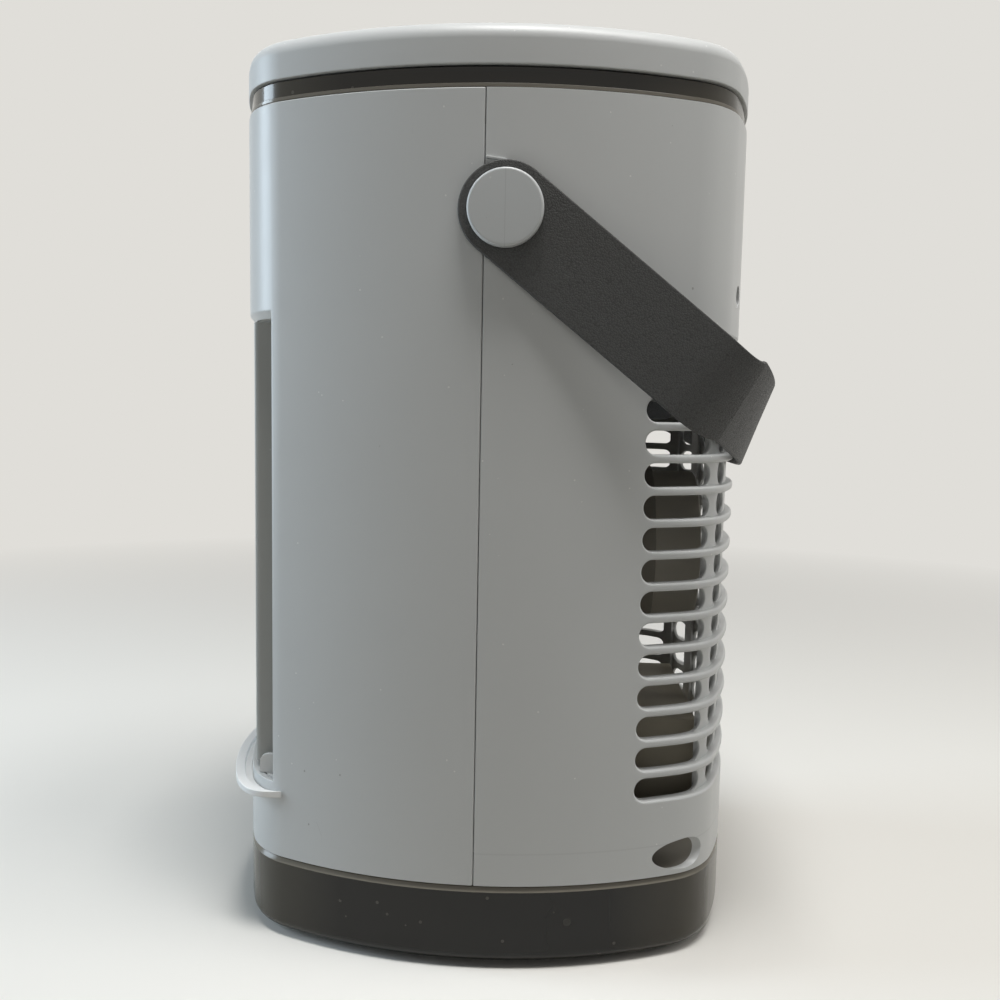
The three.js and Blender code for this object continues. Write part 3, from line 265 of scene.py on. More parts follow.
def chain(name, points):  # a row of vertices, drawn by extruding one vertex from place to place
    clearSelection()
    bpy.ops.mesh.primitive_plane_add(size=mm, location=points[0])
    piece = named(name)
    bpy.ops.object.mode_set(mode="EDIT")
    bpy.ops.mesh.select_mode(type="VERT")
    bpy.ops.mesh.select_all(action="SELECT")
    bpy.ops.mesh.merge(type="CENTER")
    for before, after in zip(points, points[1:]):
        step = [b - a for a, b in zip(before, after)]
        bpy.ops.mesh.extrude_region_move(TRANSFORM_OT_translate={"value": step})
    return piece


def extruded(name, ring, along):  # a solid from a closed ring of points
    piece = chain(name, [*ring, ring[0]])
    mergeAll()
    bpy.ops.mesh.edge_face_add()
    bpy.ops.mesh.extrude_region_move(TRANSFORM_OT_translate={"value": along})
    bpy.ops.mesh.select_all(action="SELECT")
    bpy.ops.mesh.normals_make_consistent(inside=False)
    leaveEdit()
    return piece


def roundArcs(centre, radius, start, stop, steps):  # points of a rounded edge in a profile
    turns = [math.radians(start + (stop - start) * i / steps) for i in range(steps + 1)]
    return [(centre[0] + radius * math.cos(t), centre[1] + radius * math.sin(t)) for t in turns]


def closeAndTurnOut(piece):
    activate(piece)
    bpy.ops.object.mode_set(mode="EDIT")
    bpy.ops.mesh.select_mode(type="VERT")
    mergeAll()
    bpy.ops.mesh.select_all(action="DESELECT")
    bpy.ops.mesh.select_non_manifold(extend=False, use_wire=False, use_boundary=True,
                                     use_multi_face=False, use_non_contiguous=False, use_verts=False)
    if any(v.select for v in bmesh.from_edit_mesh(piece.data).verts):
        bpy.ops.mesh.edge_face_add()
    bpy.ops.mesh.select_all(action="SELECT")
    bpy.ops.mesh.normals_make_consistent(inside=False)
    leaveEdit()
    return piece


def sweepRound(name, profile, closed=True):  # carries a profile of (inset, height) round the whole outline
    points = [(halfWidth - inset, 0, z) for inset, z in profile]
    piece = chain(name, points + points[:1] if closed else points)
    mergeAll()
    for arc in arcs:
        bpy.ops.mesh.spin(steps=arc["steps"], angle=arc["sweep"], center=(*arc["centre"], 0), axis=(0, 0, -1))
    mergeAll()
    leaveEdit()
    applyModifier(piece, "MIRROR", use_axis=(True, True, False), merge_threshold=10 * tiny)
    return closeAndTurnOut(piece)


def makePath():  # the rear half of the outline, from the right seam round to the left one
    path = chain("planPath", [(halfWidth, 0, 0)])
    side, corner, end = arcs
    for arc, way in ((side, 1), (corner, 1), (end, 1), (end, 1), (corner, -1), (side, -1)):
        centre = (arc["centre"].x * way, arc["centre"].y, 0)
        bpy.ops.mesh.spin(steps=arc["steps"] * 4, angle=arc["sweep"], center=centre, axis=(0, 0, -1))
    mergeAll(1e-7)
    leaveEdit()
    bpy.ops.object.convert(target="CURVE")
    path = bpy.context.object
    path.data.use_deform_bounds = False
    path.data.use_radius = False
    return path


def divideAt(piece, marks):
    activate(piece)
    bpy.ops.object.mode_set(mode="EDIT")
    for mark in marks:
        bpy.ops.mesh.select_all(action="SELECT")
        bpy.ops.mesh.bisect(plane_co=(mark, 0, 0), plane_no=(1, 0, 0))
    leaveEdit()


def bendRound(piece):  # a flat wall, with X along the outline and Y inwards, is divided and bent round
    marks, at = [], 0
    for arc in arcs:
        marks += [at + arc["radius"] * arc["sweep"] * i / arc["steps"] for i in range(arc["steps"])]
        at += arc["radius"] * arc["sweep"]
    divideAt(piece, marks[1:] + [quarterLength] + [wholeLength - mark for mark in reversed(marks[1:])])
    return applyModifier(piece, "CURVE", object=planPath, deform_axis="POS_X")


planPath = makePath()


# finishing a piece
def ready(piece, body, finish, nodes=(), angle=30, shift=True):
    if shift:
        move(piece, (0, midY, 0))
    smooth(piece, angle)
    piece.data.materials.clear()
    piece.data.materials.append(finish.material)
    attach(piece, body)
    if nodes:
        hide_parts(*nodes)
    return piece


# materials
class Value:  # wraps a socket, so that shader maths reads as plain expressions
    def __init__(self, finish, socket):
        self.finish = finish
        self.socket = socket

    def maths(self, operation, first, second=None):
        wires = [first] if second is None else [first, second]
        return self.finish.node("ShaderNodeMath", {"operation": operation}, dict(enumerate(wires)))

    def __add__(self, other): return self.maths("ADD", self, other)
    def __radd__(self, other): return self.maths("ADD", other, self)
    def __sub__(self, other): return self.maths("SUBTRACT", self, other)
    def __rsub__(self, other): return self.maths("SUBTRACT", other, self)
    def __mul__(self, other): return self.maths("MULTIPLY", self, other)
    def __rmul__(self, other): return self.maths("MULTIPLY", other, self)
    def __gt__(self, other): return self.maths("GREATER_THAN", self, other)
    def __lt__(self, other): return self.maths("LESS_THAN", self, other)
    def __abs__(self): return self.maths("ABSOLUTE", self)


class Finish:
    def __init__(self, name, colour, roughness, **constants):
        self.material = bpy.data.materials.new(name)
        self.material.use_nodes = True
        self.material.diffuse_color = (*colour, 1)
        self.tree = self.material.node_tree
        self.shader = self.tree.nodes["Principled BSDF"]
        self.shader.inputs["Base Color"].default_value = (*colour, 1)
        self.shader.inputs["Roughness"].default_value = roughness
        for key, value in constants.items():
            self.shader.inputs[key].default_value = value
        self.place = self.node("ShaderNodeTexCoord", {}, {}, "Object")

    def node(self, kind, settings, sockets, output=0):  # settings first, then values and links
        made = self.tree.nodes.new(kind)
        for key, value in settings.items():
            setattr(made, key, value)
        for key, value in sockets.items():
            self.link(value, made.inputs[key])
        return Value(self, made.outputs[output])

    def link(self, value, socket):
        if isinstance(value, Value):
            self.tree.links.new(value.socket, socket)
        else:
            socket.default_value = value

    def feed(self, name, value):
        self.link(value, self.shader.inputs[name])
        return self

    def along(self, axis):
        return self.node("ShaderNodeSeparateXYZ", {}, {"Vector": self.place}, axis)

    def stretched(self, scale, turn=(0, 0, 0)):
        return self.node("ShaderNodeMapping", {}, {"Vector": self.place, "Scale": scale, "Rotation": turn})

    def noise(self, scale, detail=2, roughness=0.5, at=None):
        return self.node("ShaderNodeTexNoise", {}, {"Vector": at or self.place, "Scale": scale,
                                                    "Detail": detail, "Roughness": roughness})

    def cells(self, scale, feature="F1", at=None, **more):
        sockets = {"Vector": at or self.place, "Scale": scale, **more}
        return self.node("ShaderNodeTexVoronoi", {"feature": feature}, sockets)

    def between(self, low, high, value):  # 0 below low, 1 above high
        return self.node("ShaderNodeMapRange", {"clamp": True},
                         {"Value": value, "From Min": low, "From Max": high})

    def measure(self, operation, vector, other=(0, 0, 0)):  # a number from one or two vectors
        return self.node("ShaderNodeVectorMath", {"operation": operation}, {0: vector, 1: other}, "Value")

    def mix(self, factor, first, second):  # of two colours
        colours = [(*c, 1) if isinstance(c, tuple) else c for c in (first, second)]
        return self.node("ShaderNodeMix", {"data_type": "RGBA"}, {0: factor, 6: colours[0], 7: colours[1]}, 2)

    def bump(self, height, strength, distance):
        sockets = {"Height": height, "Strength": strength, "Distance": distance}
        return self.feed("Normal", self.node("ShaderNodeBump", {}, sockets))


def tone(red, green, blue):  # a screen colour, 0 to 255, in the renderer's linear light
    return tuple((c / 255 / 12.92) if c / 255 <= 0.04045 else ((c / 255 + 0.055) / 1.055) ** 2.4
                 for c in (red, green, blue))


def scaled(colour, by):
    return tuple(min(1, c * by) for c in colour)


wear = {"specks": 150, "speckSize": 0.055, "speckTone": (0.9, 0.9, 0.88), "speckPatches": (31, 0.52),
        "marks": 90, "markSize": 0.035, "markTone": (0.12, 0.11, 0.1), "markShare": 0.7,
        "markPatches": (23, 0.58), "markStretch": (1, 1, 0.8), "markTurn": (0.4, 0.2, 0),
        "scratches": 9, "scratchWidth": 0.006, "scratchTone": 0.7, "scratchShare": 0.35,
        "scratchPatches": (19, 0.66), "scratchStretch": (30, 30, 2.2), "scratchTurn": (0.25, 0.1, 0)}


def patches(finish, where):  # 1 in a few cloudy places, by their scale and where they begin
    scale, start = where
    return finish.noise(scale, 1) > start


def worn(finish, base, colour, dust):  # pale specks, small dark marks and fine scratches, each in patches
    specks = (finish.cells(wear["specks"]) < wear["speckSize"]) * patches(finish, wear["speckPatches"])
    base = finish.mix(specks * dust, base, wear["speckTone"])
    marks = finish.cells(wear["marks"], at=finish.stretched(wear["markStretch"], wear["markTurn"]))
    marks = (marks < wear["markSize"]) * patches(finish, wear["markPatches"])
    base = finish.mix(marks * (dust * wear["markShare"]), base, wear["markTone"])
    scratches = finish.stretched(wear["scratchStretch"], wear["scratchTurn"])
    scratches = finish.cells(wear["scratches"], "DISTANCE_TO_EDGE", scratches) < wear["scratchWidth"]
    scratches = scratches * patches(finish, wear["scratchPatches"]) * (dust * wear["scratchShare"])
    return finish.mix(scratches, base, scaled(colour, wear["scratchTone"]))


moulded = {"clouds": 14, "cloudDepth": 0.035, "sheen": 40, "sheenSpread": 0.12, "grain": 1900,
           "grainDepth": 0.12 * mm, "lineDepth": 0.2}


def mouldedPlastic(name, colour, roughness, dust=0.0, grain=0.06, line=None):
    finish = Finish(name, colour, roughness)
    depth, spread = moulded["cloudDepth"], moulded["sheenSpread"]
    clouds = finish.noise(moulded["clouds"], 3)
    base = finish.mix(clouds, scaled(colour, 1 - depth), scaled(colour, 1 + depth))
    if dust:
        base = worn(finish, base, colour, dust)
    if line:
        base = finish.mix(line(finish), base, scaled(colour, 1 - moulded["lineDepth"]))
    finish.feed("Base Color", base)
    finish.feed("Roughness", finish.noise(moulded["sheen"], 3) * spread + (roughness - spread / 2))
    return finish.bump(finish.noise(moulded["grain"], 2), grain, moulded["grainDepth"])


marking = {"mouldHeight": 13 * mm, "mouldLine": (0.1 * mm, 0.5 * mm), "mouldShare": 0.35,
           "gateLine": (0.05 * mm, 0.16 * mm), "gateShare": 0.7}


def mouldLine(finish):  # a faint line low on the rear half
    height = abs(finish.along("Z") - (shellLow.z + marking["mouldHeight"]))
    line = 1 - finish.between(*marking["mouldLine"], height)
    return line * (finish.along("Y") > midY) * marking["mouldShare"]


def gateLine(finish):  # a faint upright line across the button's face
    away = abs(finish.along("Y") - (midY + pivot.y))
    return (1 - finish.between(*marking["gateLine"], away)) * marking["gateShare"]


whitePlastic = mouldedPlastic("whiteShell", tone(207, 209, 209), 0.34, dust=0.6, line=mouldLine)
capPlastic = mouldedPlastic("whiteCap", tone(207, 209, 209), 0.42, dust=0.5)
buttonPlastic = mouldedPlastic("whiteButton", tone(203, 206, 207), 0.34, dust=0.3, grain=0.03, line=gateLine)
# the screw tunnels are the shell's white plastic, painted darker as painted shade deep in their bores
tunnelPaintedShade = mouldedPlastic("tunnelPaintedShade", tone(128, 124, 116), 0.55)
keyPlastic = mouldedPlastic("whiteKeys", tone(203, 206, 207), 0.34, dust=0.2, grain=0.03)
trimPlastic = mouldedPlastic("whiteTrim", tone(226, 227, 226), 0.4, dust=0.2)
# the lip is the shell's white plastic painted whiter, as painted light falling on its top from above
lipPaintedLight = mouldedPlastic("lipWhitePaintedLight", tone(246, 247, 247), 0.34, dust=0.2)
vanePlastic = mouldedPlastic("greyVane", tone(172, 173, 170), 0.42, dust=0.2)
greyPlastic = mouldedPlastic("greyParts", tone(140, 139, 134), 0.5)
# painted light: the inner dark plastic and the electrics cover are painted paler than their own dark colour,
# to stand in for light inside the shaded housing, the cover most of all
darkPlastic = mouldedPlastic("darkParts", tone(134, 129, 119), 0.6)
coverPlastic = mouldedPlastic("darkCover", tone(170, 163, 147), 0.6)
panelPlastic = mouldedPlastic("panelGloss", tone(28, 28, 30), 0.2, grain=0.0, dust=0.3)
# painted light: the motor casing is painted paler than its own dark colour, to stand in for light inside the
# shaded housing
motorMetal = mouldedPlastic("motorCasing", tone(168, 163, 152), 0.6)
rubber = mouldedPlastic("footRubber", tone(30, 30, 30), 0.85, grain=0.3)

tankLook = {"dark": tone(18, 17, 15), "light": tone(36, 34, 30), "coat": 0.08, "frontCoat": 0,
            "rim": (tankHigh.z - 1.75 * mm, tankHigh.z + mm), "rimHighlightTone": tone(128, 123, 112)}
bandLook = {"dark": tone(27, 25, 21), "light": tone(38, 35, 30), "coat": 0.12, "frontCoat": 0.6,
            "rim": (bandLow.z - mm, bandLow.z + 1.32 * mm), "rimHighlightTone": tone(118, 113, 103)}
smoke = {"endReflectionTone": tone(84, 80, 70), "endsFrom": 0.5, "frontFrom": 0.7, "endsFull": 0.98, "haze": 9,
         "spotAt": (0, midY + 37 * mm, 19 * mm), "spotRadius": 1.6 * mm, "spotTone": tone(74, 72, 66),
         "spotShare": 0.5, "drops": 120, "dropSize": 0.08, "dropTone": tone(120, 116, 108),
         "dropShare": 0.35, "dropPatches": (26, 0.5), "streaks": 20, "streakStretch": (6, 6, 0.8),
         "streakSpread": 0.14, "leastRoughness": 0.12, "bump": 0.03, "bumpDepth": 0.2 * mm}


def smokedPlastic(name, look):  # clear brown-grey plastic with a thin haze and water marks, a painted highlight along its rim and painted reflection at its front and rear ends
    finish = Finish(name, look["light"], 0.2, **{"Specular IOR Level": 0.3, "Coat Weight": look["coat"],
                                                 "Coat Roughness": 0.05})
    height, across = finish.along("Z"), finish.along("Y") - midY
    if look["frontCoat"]:
        front = finish.between(smoke["frontFrom"], smoke["endsFull"], across * (-1 / halfLength))
        finish.feed("Coat Weight", front * look["frontCoat"] + look["coat"])
    base = finish.mix(finish.noise(smoke["haze"], 4), look["dark"], look["light"])
    # painted reflection: the front and rear ends are painted paler, standing in for the room's light seen
    # there at a glancing angle
    ends = finish.between(smoke["endsFrom"], smoke["endsFull"], abs(across) * (1 / halfLength))
    base = finish.mix(ends, base, smoke["endReflectionTone"])
    spot = finish.measure("DISTANCE", finish.stretched((0, 1, 1)), smoke["spotAt"])
    base = finish.mix((spot < smoke["spotRadius"]) * smoke["spotShare"], base, smoke["spotTone"])
    # painted highlight: a paler line along the tank's top chamfer and the band's lower ledge, where light
    # from above catches them
    base = finish.mix((height > look["rim"][0]) * (height < look["rim"][1]), base, look["rimHighlightTone"])
    drops = (finish.cells(smoke["drops"]) < smoke["dropSize"]) * patches(finish, smoke["dropPatches"])
    finish.feed("Base Color", finish.mix(drops * smoke["dropShare"], base, smoke["dropTone"]))
    streaks = finish.noise(smoke["streaks"], 3, at=finish.stretched(smoke["streakStretch"]))
    finish.feed("Roughness", streaks * smoke["streakSpread"] + smoke["leastRoughness"])
    return finish.bump(finish.noise(700, 2), smoke["bump"], smoke["bumpDepth"])


hide = {"pebbles": 1250, "warp": 260, "warpShare": 0.0022, "softness": 0.3, "grooveWidth": 0.16,
        "pebbleTone": tone(56, 57, 57), "grooveTone": tone(38, 38, 38), "rubbedTone": tone(60, 59, 56),
        "bump": 0.5, "bumpDepth": 0.24 * mm}


def pebbledLeather():
    finish = Finish("strapLeather", tone(50, 51, 51), 0.5)
    place = finish.node("ShaderNodeMix", {"data_type": "VECTOR"},
                        {0: hide["warpShare"], 4: finish.place, 5: finish.noise(hide["warp"], 2)}, 1)
    pebbles = finish.cells(hide["pebbles"], "SMOOTH_F1", place, Smoothness=hide["softness"])
    creases = finish.cells(hide["pebbles"], "DISTANCE_TO_EDGE", place)
    groove = 1 - finish.between(0.0, hide["grooveWidth"], creases)
    rubbed = finish.noise(30, 3)
    base = finish.mix(groove, hide["pebbleTone"], hide["grooveTone"])
    finish.feed("Base Color", finish.mix(rubbed * 0.4, base, hide["rubbedTone"]))
    finish.feed("Roughness", groove * 0.25 + (rubbed * 0.12 + 0.4))
    return finish.bump((1 - pebbles) - groove * 0.4, hide["bump"], hide["bumpDepth"])


def brushedMetal(name, colour, roughness):
    finish = Finish(name, colour, roughness, Metallic=1.0)
    grain = finish.noise(60, 4, at=finish.stretched((1, 14, 1)))
    finish.feed("Base Color", finish.mix(grain, scaled(colour, 0.8), colour))
    finish.feed("Roughness", grain * 0.25 + (roughness - 0.12))
    return finish.bump(grain, 0.08, 0.1 * mm)


def wickPaper():
    finish = Finish("wickPaper", tone(196, 202, 194), 0.95)
    fibres = finish.noise(500, 5, 0.7, finish.stretched((1, 1, 0.35)))
    base = finish.mix(fibres, tone(176, 184, 175), tone(212, 216, 209))
    finish.feed("Base Color", finish.mix(finish.noise(30, 3) * 0.3, base, tone(186, 178, 152)))
    return finish.bump(fibres, 0.5, 0.4 * mm)


def circuitBoard():
    finish = Finish("circuitBoard", tone(26, 84, 52), 0.4)
    tracks = finish.cells(260, "DISTANCE_TO_EDGE", finish.stretched((1, 1, 0.2))) < 0.08
    finish.feed("Base Color", finish.mix(tracks, tone(22, 74, 46), tone(58, 116, 76)))
    finish.feed("Roughness", tracks * 0.2 + 0.35)
    return finish.bump(tracks, 0.2, 0.1 * mm)


smoked = smokedPlastic("smokedTank", tankLook)
bandFinish = smokedPlastic("smokedBand", bandLook)
leather = pebbledLeather()
steel = brushedMetal("screwSteel", tone(190, 190, 188), 0.35)
paper = wickPaper()
board = circuitBoard()
print("materials made")


# the housing's two shells: flat walls with their openings, bent round the outline
wall = 2.6 * mm
seam = {"gap": 0.15 * mm, "tongueIn": 77 * mm, "tongueOut": 82.8 * mm, "clear": 81.4 * mm,
        "tongueBack": 5 * mm, "tongueFront": 4.5 * mm, "short": 12 * mm, "edgeRound": 0.3 * mm}
cutter = {"out": -5 * mm, "in": 20 * mm}  # how far a cutter stands past a flat wall, outside and inside
grille = {"rows": 15, "pitch": 12.44 * mm, "slotHeight": 9.2 * mm, "bottom": 31.7 * mm,
          "frontEdge": 62.4 * mm, "barDepth": 3 * mm, "skinDepth": 4.7 * mm, "depth": 6 * mm,
          "edgeRound": 0.4 * mm, "slotRound": 1.05 * mm, "margin": 5 * mm}
post = {"count": 6, "pitch": 23.4 * mm, "width": 8.2 * mm, "ease": 6 * mm, "edgeRound": 0.55 * mm,
        "bite": 0.2 * mm, "ribInset": 0.2 * mm, "ribBite": 0.3 * mm, "ribRound": 0.3 * mm}
rowsStart = shellLow.z + grille["bottom"]
rowsEnd = rowsStart + (grille["rows"] - 1) * grille["pitch"] + grille["slotHeight"]
slotStart = lengthWhere(lambda p: p.y > grille["frontEdge"])


def flatWall(name):
    low, high = (seam["gap"], 0, shellLow.z), (wholeLength - seam["gap"], wall, shellHigh.z)
    return block(name, low, high)


def rowOfOpenings(name, start, stop, ease):  # openings with half-elliptical ends, one per row
    rise = grille["slotHeight"] / 2
    middle, low = rowsStart + rise, cutter["out"]
    ring = []
    for end, size, turn in ((stop - ease[1], ease[1], -90), (start + ease[0], ease[0], 90)):
        ring += [(end + x, low, middle + z * rise / size)
                 for x, z in roundArcs((0, 0), size, turn, turn + 180, 20)]
    opening = extruded(name, ring, (0, cutter["in"] - low, 0))
    return applyModifier(opening, "ARRAY", count=grille["rows"], use_relative_offset=False,
                         use_constant_offset=True, constant_offset_displace=(0, 0, grille["pitch"]))


def postSpans():  # where the posts stand, as lengths along the wall
    first = quarterLength - post["pitch"] * (post["count"] - 1) / 2 - post["width"] / 2
    return [(first + post["pitch"] * i, first + post["pitch"] * i + post["width"])
            for i in range(post["count"])]


def flatGrille():
    start, stop = slotStart - grille["margin"], wholeLength - slotStart + grille["margin"]
    low, high = rowsStart - grille["margin"], rowsEnd + grille["margin"]
    half = grille["slotHeight"] / 2
    sheet = flatWall("rearShell")
    combine(sheet, block("pad", (start, wall / 2, low), (stop, grille["barDepth"], high)), "UNION")
    combine(sheet, rowOfOpenings("slots", slotStart, wholeLength - slotStart, (half, half)), "DIFFERENCE")
    bevelEdges(sheet, grille["slotRound"], 3, lambda e, middle, way: e.calc_face_angle(0) > 1
               and abs(middle.y) < tiny and start < middle.x < stop and low < middle.z < high)
    softenEdges(sheet, grille["edgeRound"])
    skin = block("skin", (start, grille["barDepth"] - post["bite"], low), (stop, grille["skinDepth"], high))
    spans = postSpans()
    ends = [slotStart, *[x for span in spans for x in span], wholeLength - slotStart]
    windows = []
    for i in range(0, len(ends), 2):
        ease = (half if i == 0 else post["ease"], half if i == len(ends) - 2 else post["ease"])
        windows.append(rowOfOpenings("window", ends[i], ends[i + 1], ease))
    combine(skin, joinAll(windows, "windows"), "DIFFERENCE")
    softenEdges(skin, post["edgeRound"])
    inset = post["ribInset"]
    ribs = [block("rib", (a + inset, grille["skinDepth"] - post["ribBite"], low + mm),
                  (b - inset, grille["depth"], high - mm)) for a, b in spans]
    combine(skin, softenEdges(joinAll(ribs, "ribs"), post["ribRound"]), "UNION")
    return combine(sheet, skin, "UNION")


tunnel = {"wall": 1.7 * mm, "seat": 2.4 * mm, "head": 2 * mm, "shank": 1.8 * mm, "bite": 0.1 * mm,
          "boreEase": 0.03 * mm, "lowBore": 6.3 * mm, "highBore": 4.5 * mm}
hole = {"inletBore": 5.6 * mm, "pivotBore": 5.3 * mm, "screwsFrom": 50 * mm, "inletFrom": 80 * mm,
        "pivotsFrom": 70 * mm, "pivotsTo": 100 * mm, "endsTo": 120 * mm}
screwNodes = ["screw_lower_right", "screw_lower_left", "screw_upper_right", "screw_upper_left"]


def screwPlace(node):  # the hole's centre, its radius, and how far out the screw's head reaches
    low, high = corners(node)
    bore = tunnel["lowBore"] if "lower" in node else tunnel["highBore"]
    return ((low.x + high.x) / 2, (low.z + high.z) / 2), bore, high.y - midY


def screwTunnel(node):  # the tube that leads a driver to one housing screw
    centre, bore, head = screwPlace(node)
    seat = head - tunnel["head"]
    low, high = corners(node)
    outer = rod("tunnel", "y", bore + tunnel["wall"], seat - tunnel["seat"], halfLength, centre)
    inset, spare = wall - tunnel["bite"], 20 * mm
    inside = sweepRound("inside", [(inset, low.z - spare), (inset, high.z + spare)], closed=False)
    combine(outer, inside, "INTERSECT")
    past = halfLength + 10 * mm
    combine(outer, rod("bore", "y", bore + tunnel["boreEase"], seat, past, centre), "DIFFERENCE")
    return combine(outer, rod("shank", "y", tunnel["shank"], 0, seat + mm, centre, 24), "DIFFERENCE")


def rearShell():
    shell = bendRound(flatGrille())
    cutters = []
    for node in screwNodes:
        centre, bore, _ = screwPlace(node)
        cutters.append(rod("cut", "y", bore, hole["screwsFrom"], hole["endsTo"], centre))
    inletLow, inletHigh = corners("power_inlet")
    inlet = (0, (inletLow.z + inletHigh.z) / 2)
    cutters.append(rod("cut", "y", hole["inletBore"], hole["inletFrom"], hole["endsTo"], inlet))
    for side in (-1, 1):
        start, stop = sorted((side * hole["pivotsFrom"], side * hole["pivotsTo"]))
        cutters.append(rod("cut", "x", hole["pivotBore"], start, stop, (pivot.y, pivot.z), 32))
    combine(shell, joinAll(cutters, "cuts"), "DIFFERENCE")
    return joinAll([shell, *bothSides(seamTongue()), *bothSides(strapLedge())], "rearShell")


def seamTongue():  # the strip behind a seam, which keeps the shells in line
    low, high = shellLow.z + seam["short"], shellHigh.z - seam["short"]
    strip = block("tongue", (seam["tongueIn"], -seam["tongueBack"], low),
                  (seam["tongueOut"], seam["tongueFront"], high))
    spare = block("spare", (seam["tongueIn"] - mm, -6 * mm, shellLow.z), (seam["clear"], 6 * mm, shellHigh.z))
    combine(strip, spare, "DIFFERENCE")
    return softenEdges(strip, seam["edgeRound"])


ledge = {"inner": 84 * mm, "length": 7.6 * mm, "height": 1.1 * mm, "proud": 0.7 * mm,
         "rise": 18.4 * mm, "back": 0.3 * mm, "slope": 9, "edgeRound": 0.3 * mm}


def strapLedge():  # a small sloping rib above the pivot, on the rear shell only
    low = (ledge["inner"], ledge["back"], pivot.z + ledge["rise"])
    high = (halfWidth + ledge["proud"], low[1] + ledge["length"], low[2] + ledge["height"])
    rib = rotate(block("ledge", low, high), math.radians(-ledge["slope"]), "X", (halfWidth, *low[1:]))
    return softenEdges(rib, ledge["edgeRound"])


outlet = {"halfWidth": 66.5 * mm, "low": 31 * mm, "high": 218.5 * mm, "slope": 3 * mm, "edgeRound": 0.5 * mm}


def frontShell():
    sheet = flatWall("frontShell")
    start = lengthWhere(lambda p: p.x < outlet["halfWidth"])
    low, high = shellLow.z + outlet["low"], shellLow.z + outlet["high"]
    opening = block("opening", (start, cutter["out"], low), (wholeLength - start, cutter["in"], high))
    combine(sheet, opening, "DIFFERENCE")
    near, past = start - 0.1 * mm, wholeLength - start + 0.1 * mm
    pick(sheet, "VERT", lambda v: abs(v.z - high) < 0.01 * mm and v.y < 0.01 * mm and near < v.x < past)
    bpy.ops.transform.translate(value=(0, 0, outlet["slope"]))
    leaveEdit()
    softenEdges(sheet, outlet["edgeRound"], 3)
    return rotate(bendRound(sheet), math.pi, "Z", (0, 0, 0))


ready(rearShell(), "housing", whitePlastic, ["rear_shell"])
# the screw tunnels, in the finish that carries the painted shade of their bores
tunnels = joinAll([screwTunnel(node) for node in screwNodes], "screwTunnels")
ready(tunnels, "housing", tunnelPaintedShade)
ready(frontShell(), "housing", whitePlastic, ["front_shell"])
print("shells made")


# cap, band, tank and feet
core = 20 * mm  # how far in the first and last rings of a closed form stand
cap = {"round": 7 * mm, "wall": 2.4 * mm, "top": 4.2 * mm, "lipRound": 0.4 * mm, "flatFrom": 1.5 * mm,
       "pocketDepth": 2.3 * mm, "pocketGap": 0.3 * mm, "pocketRound": 8.3 * mm}


def topCap():
    low, high, radius = capLow.z, capHigh.z, cap["round"]
    edge = roundArcs((cap["lipRound"], low + cap["lipRound"]), cap["lipRound"], 270, 180, 3)
    top = [(radius - x, z) for x, z in roundArcs((0, high - radius), radius, 0, 90, 12)]
    profile = [(core, high - cap["top"]), (cap["wall"], high - cap["top"]), (cap["wall"], low),
               *edge, *top, (radius + cap["flatFrom"], high), (core, high)]
    piece = sweepRound("topCap", profile, closed=False)
    panelLow, panelHigh = corners("control_panel")
    gap = cap["pocketGap"]
    pocket = block("pocket", (panelLow.x - gap, panelLow.y - midY - gap, high - cap["pocketDepth"]),
                   (panelHigh.x + gap, panelHigh.y - midY + gap, high + 10 * mm))
    bevelEdges(pocket, cap["pocketRound"], 8, lambda e, middle, way: abs(way.z) > 0.99)
    return combine(piece, pocket, "DIFFERENCE")


band = {"ledgeInset": 0.5 * mm, "ledge": 1.3 * mm, "ledgeRound": 0.15 * mm, "inset": 1.2 * mm,
        "depth": 4.8 * mm, "bevel": 0.6 * mm}


def lightBand():
    low, high, step, r = bandLow.z, bandHigh.z, band["ledgeInset"], band["ledgeRound"]
    inner = band["inset"] + band["depth"]
    top = low + band["ledge"]
    profile = [(inner, low), (step + r, low), (step, low + r), (step, top - r), (step + r, top),
               (band["inset"], top), (band["inset"], high - band["bevel"]),
               (band["inset"] + band["bevel"], high), (inner, high)]
    return sweepRound("lightBand", profile)


tank = {"wall": 2.4 * mm, "floor": 2.5 * mm, "bottomRound": 5 * mm, "chamfer": 1.5 * mm, "inset": 1 * mm,
        "rimRound": 0.2 * mm, "cornerRun": 3 * mm, "cornerEase": 0.9 * mm}


def waterTank():
    low, high, radius, side, r = tankLow.z, tankHigh.z, tank["bottomRound"], tank["wall"], tank["rimRound"]
    floorZ, shoulder, ease = low + tank["floor"], high - tank["chamfer"], tank["cornerEase"]
    turns = [math.pi / 2 * i / 8 for i in range(9)]
    bottom = [(radius - radius * math.cos(t), low + radius - radius * math.sin(t)) for t in turns]
    outside = [(side, high - r), (side - r, high), (tank["inset"] + r, high), (tank["inset"], high - r),
               (r / 2, shoulder), (0, shoulder - r)]
    inside = [(core + 10 * mm, floorZ), (side + tank["cornerRun"], floorZ),
              (side + ease, floorZ + ease), (side, floorZ + tank["cornerRun"])]
    return sweepRound("waterTank", [*inside, *outside, *bottom, (core, low)], closed=False)


pad = {"ring": 0.45, "slope": 0.18, "hollow": 0.5 * mm, "edgeRound": 0.3 * mm}


def foot(name, node):
    low, high = corners(node)
    radius = (high.x - low.x) / 2
    disc = rod(name, "z", radius, low.z, high.z, ((low.x + high.x) / 2, (low.y + high.y) / 2))
    pick(disc, "FACE", lambda middle, normal: normal.z < -0.9)
    bpy.ops.mesh.inset(thickness=radius * pad["ring"])
    bpy.ops.mesh.inset(thickness=radius * pad["slope"])
    bpy.ops.transform.translate(value=(0, 0, pad["hollow"]))
    leaveEdit()
    return softenEdges(disc, pad["edgeRound"])


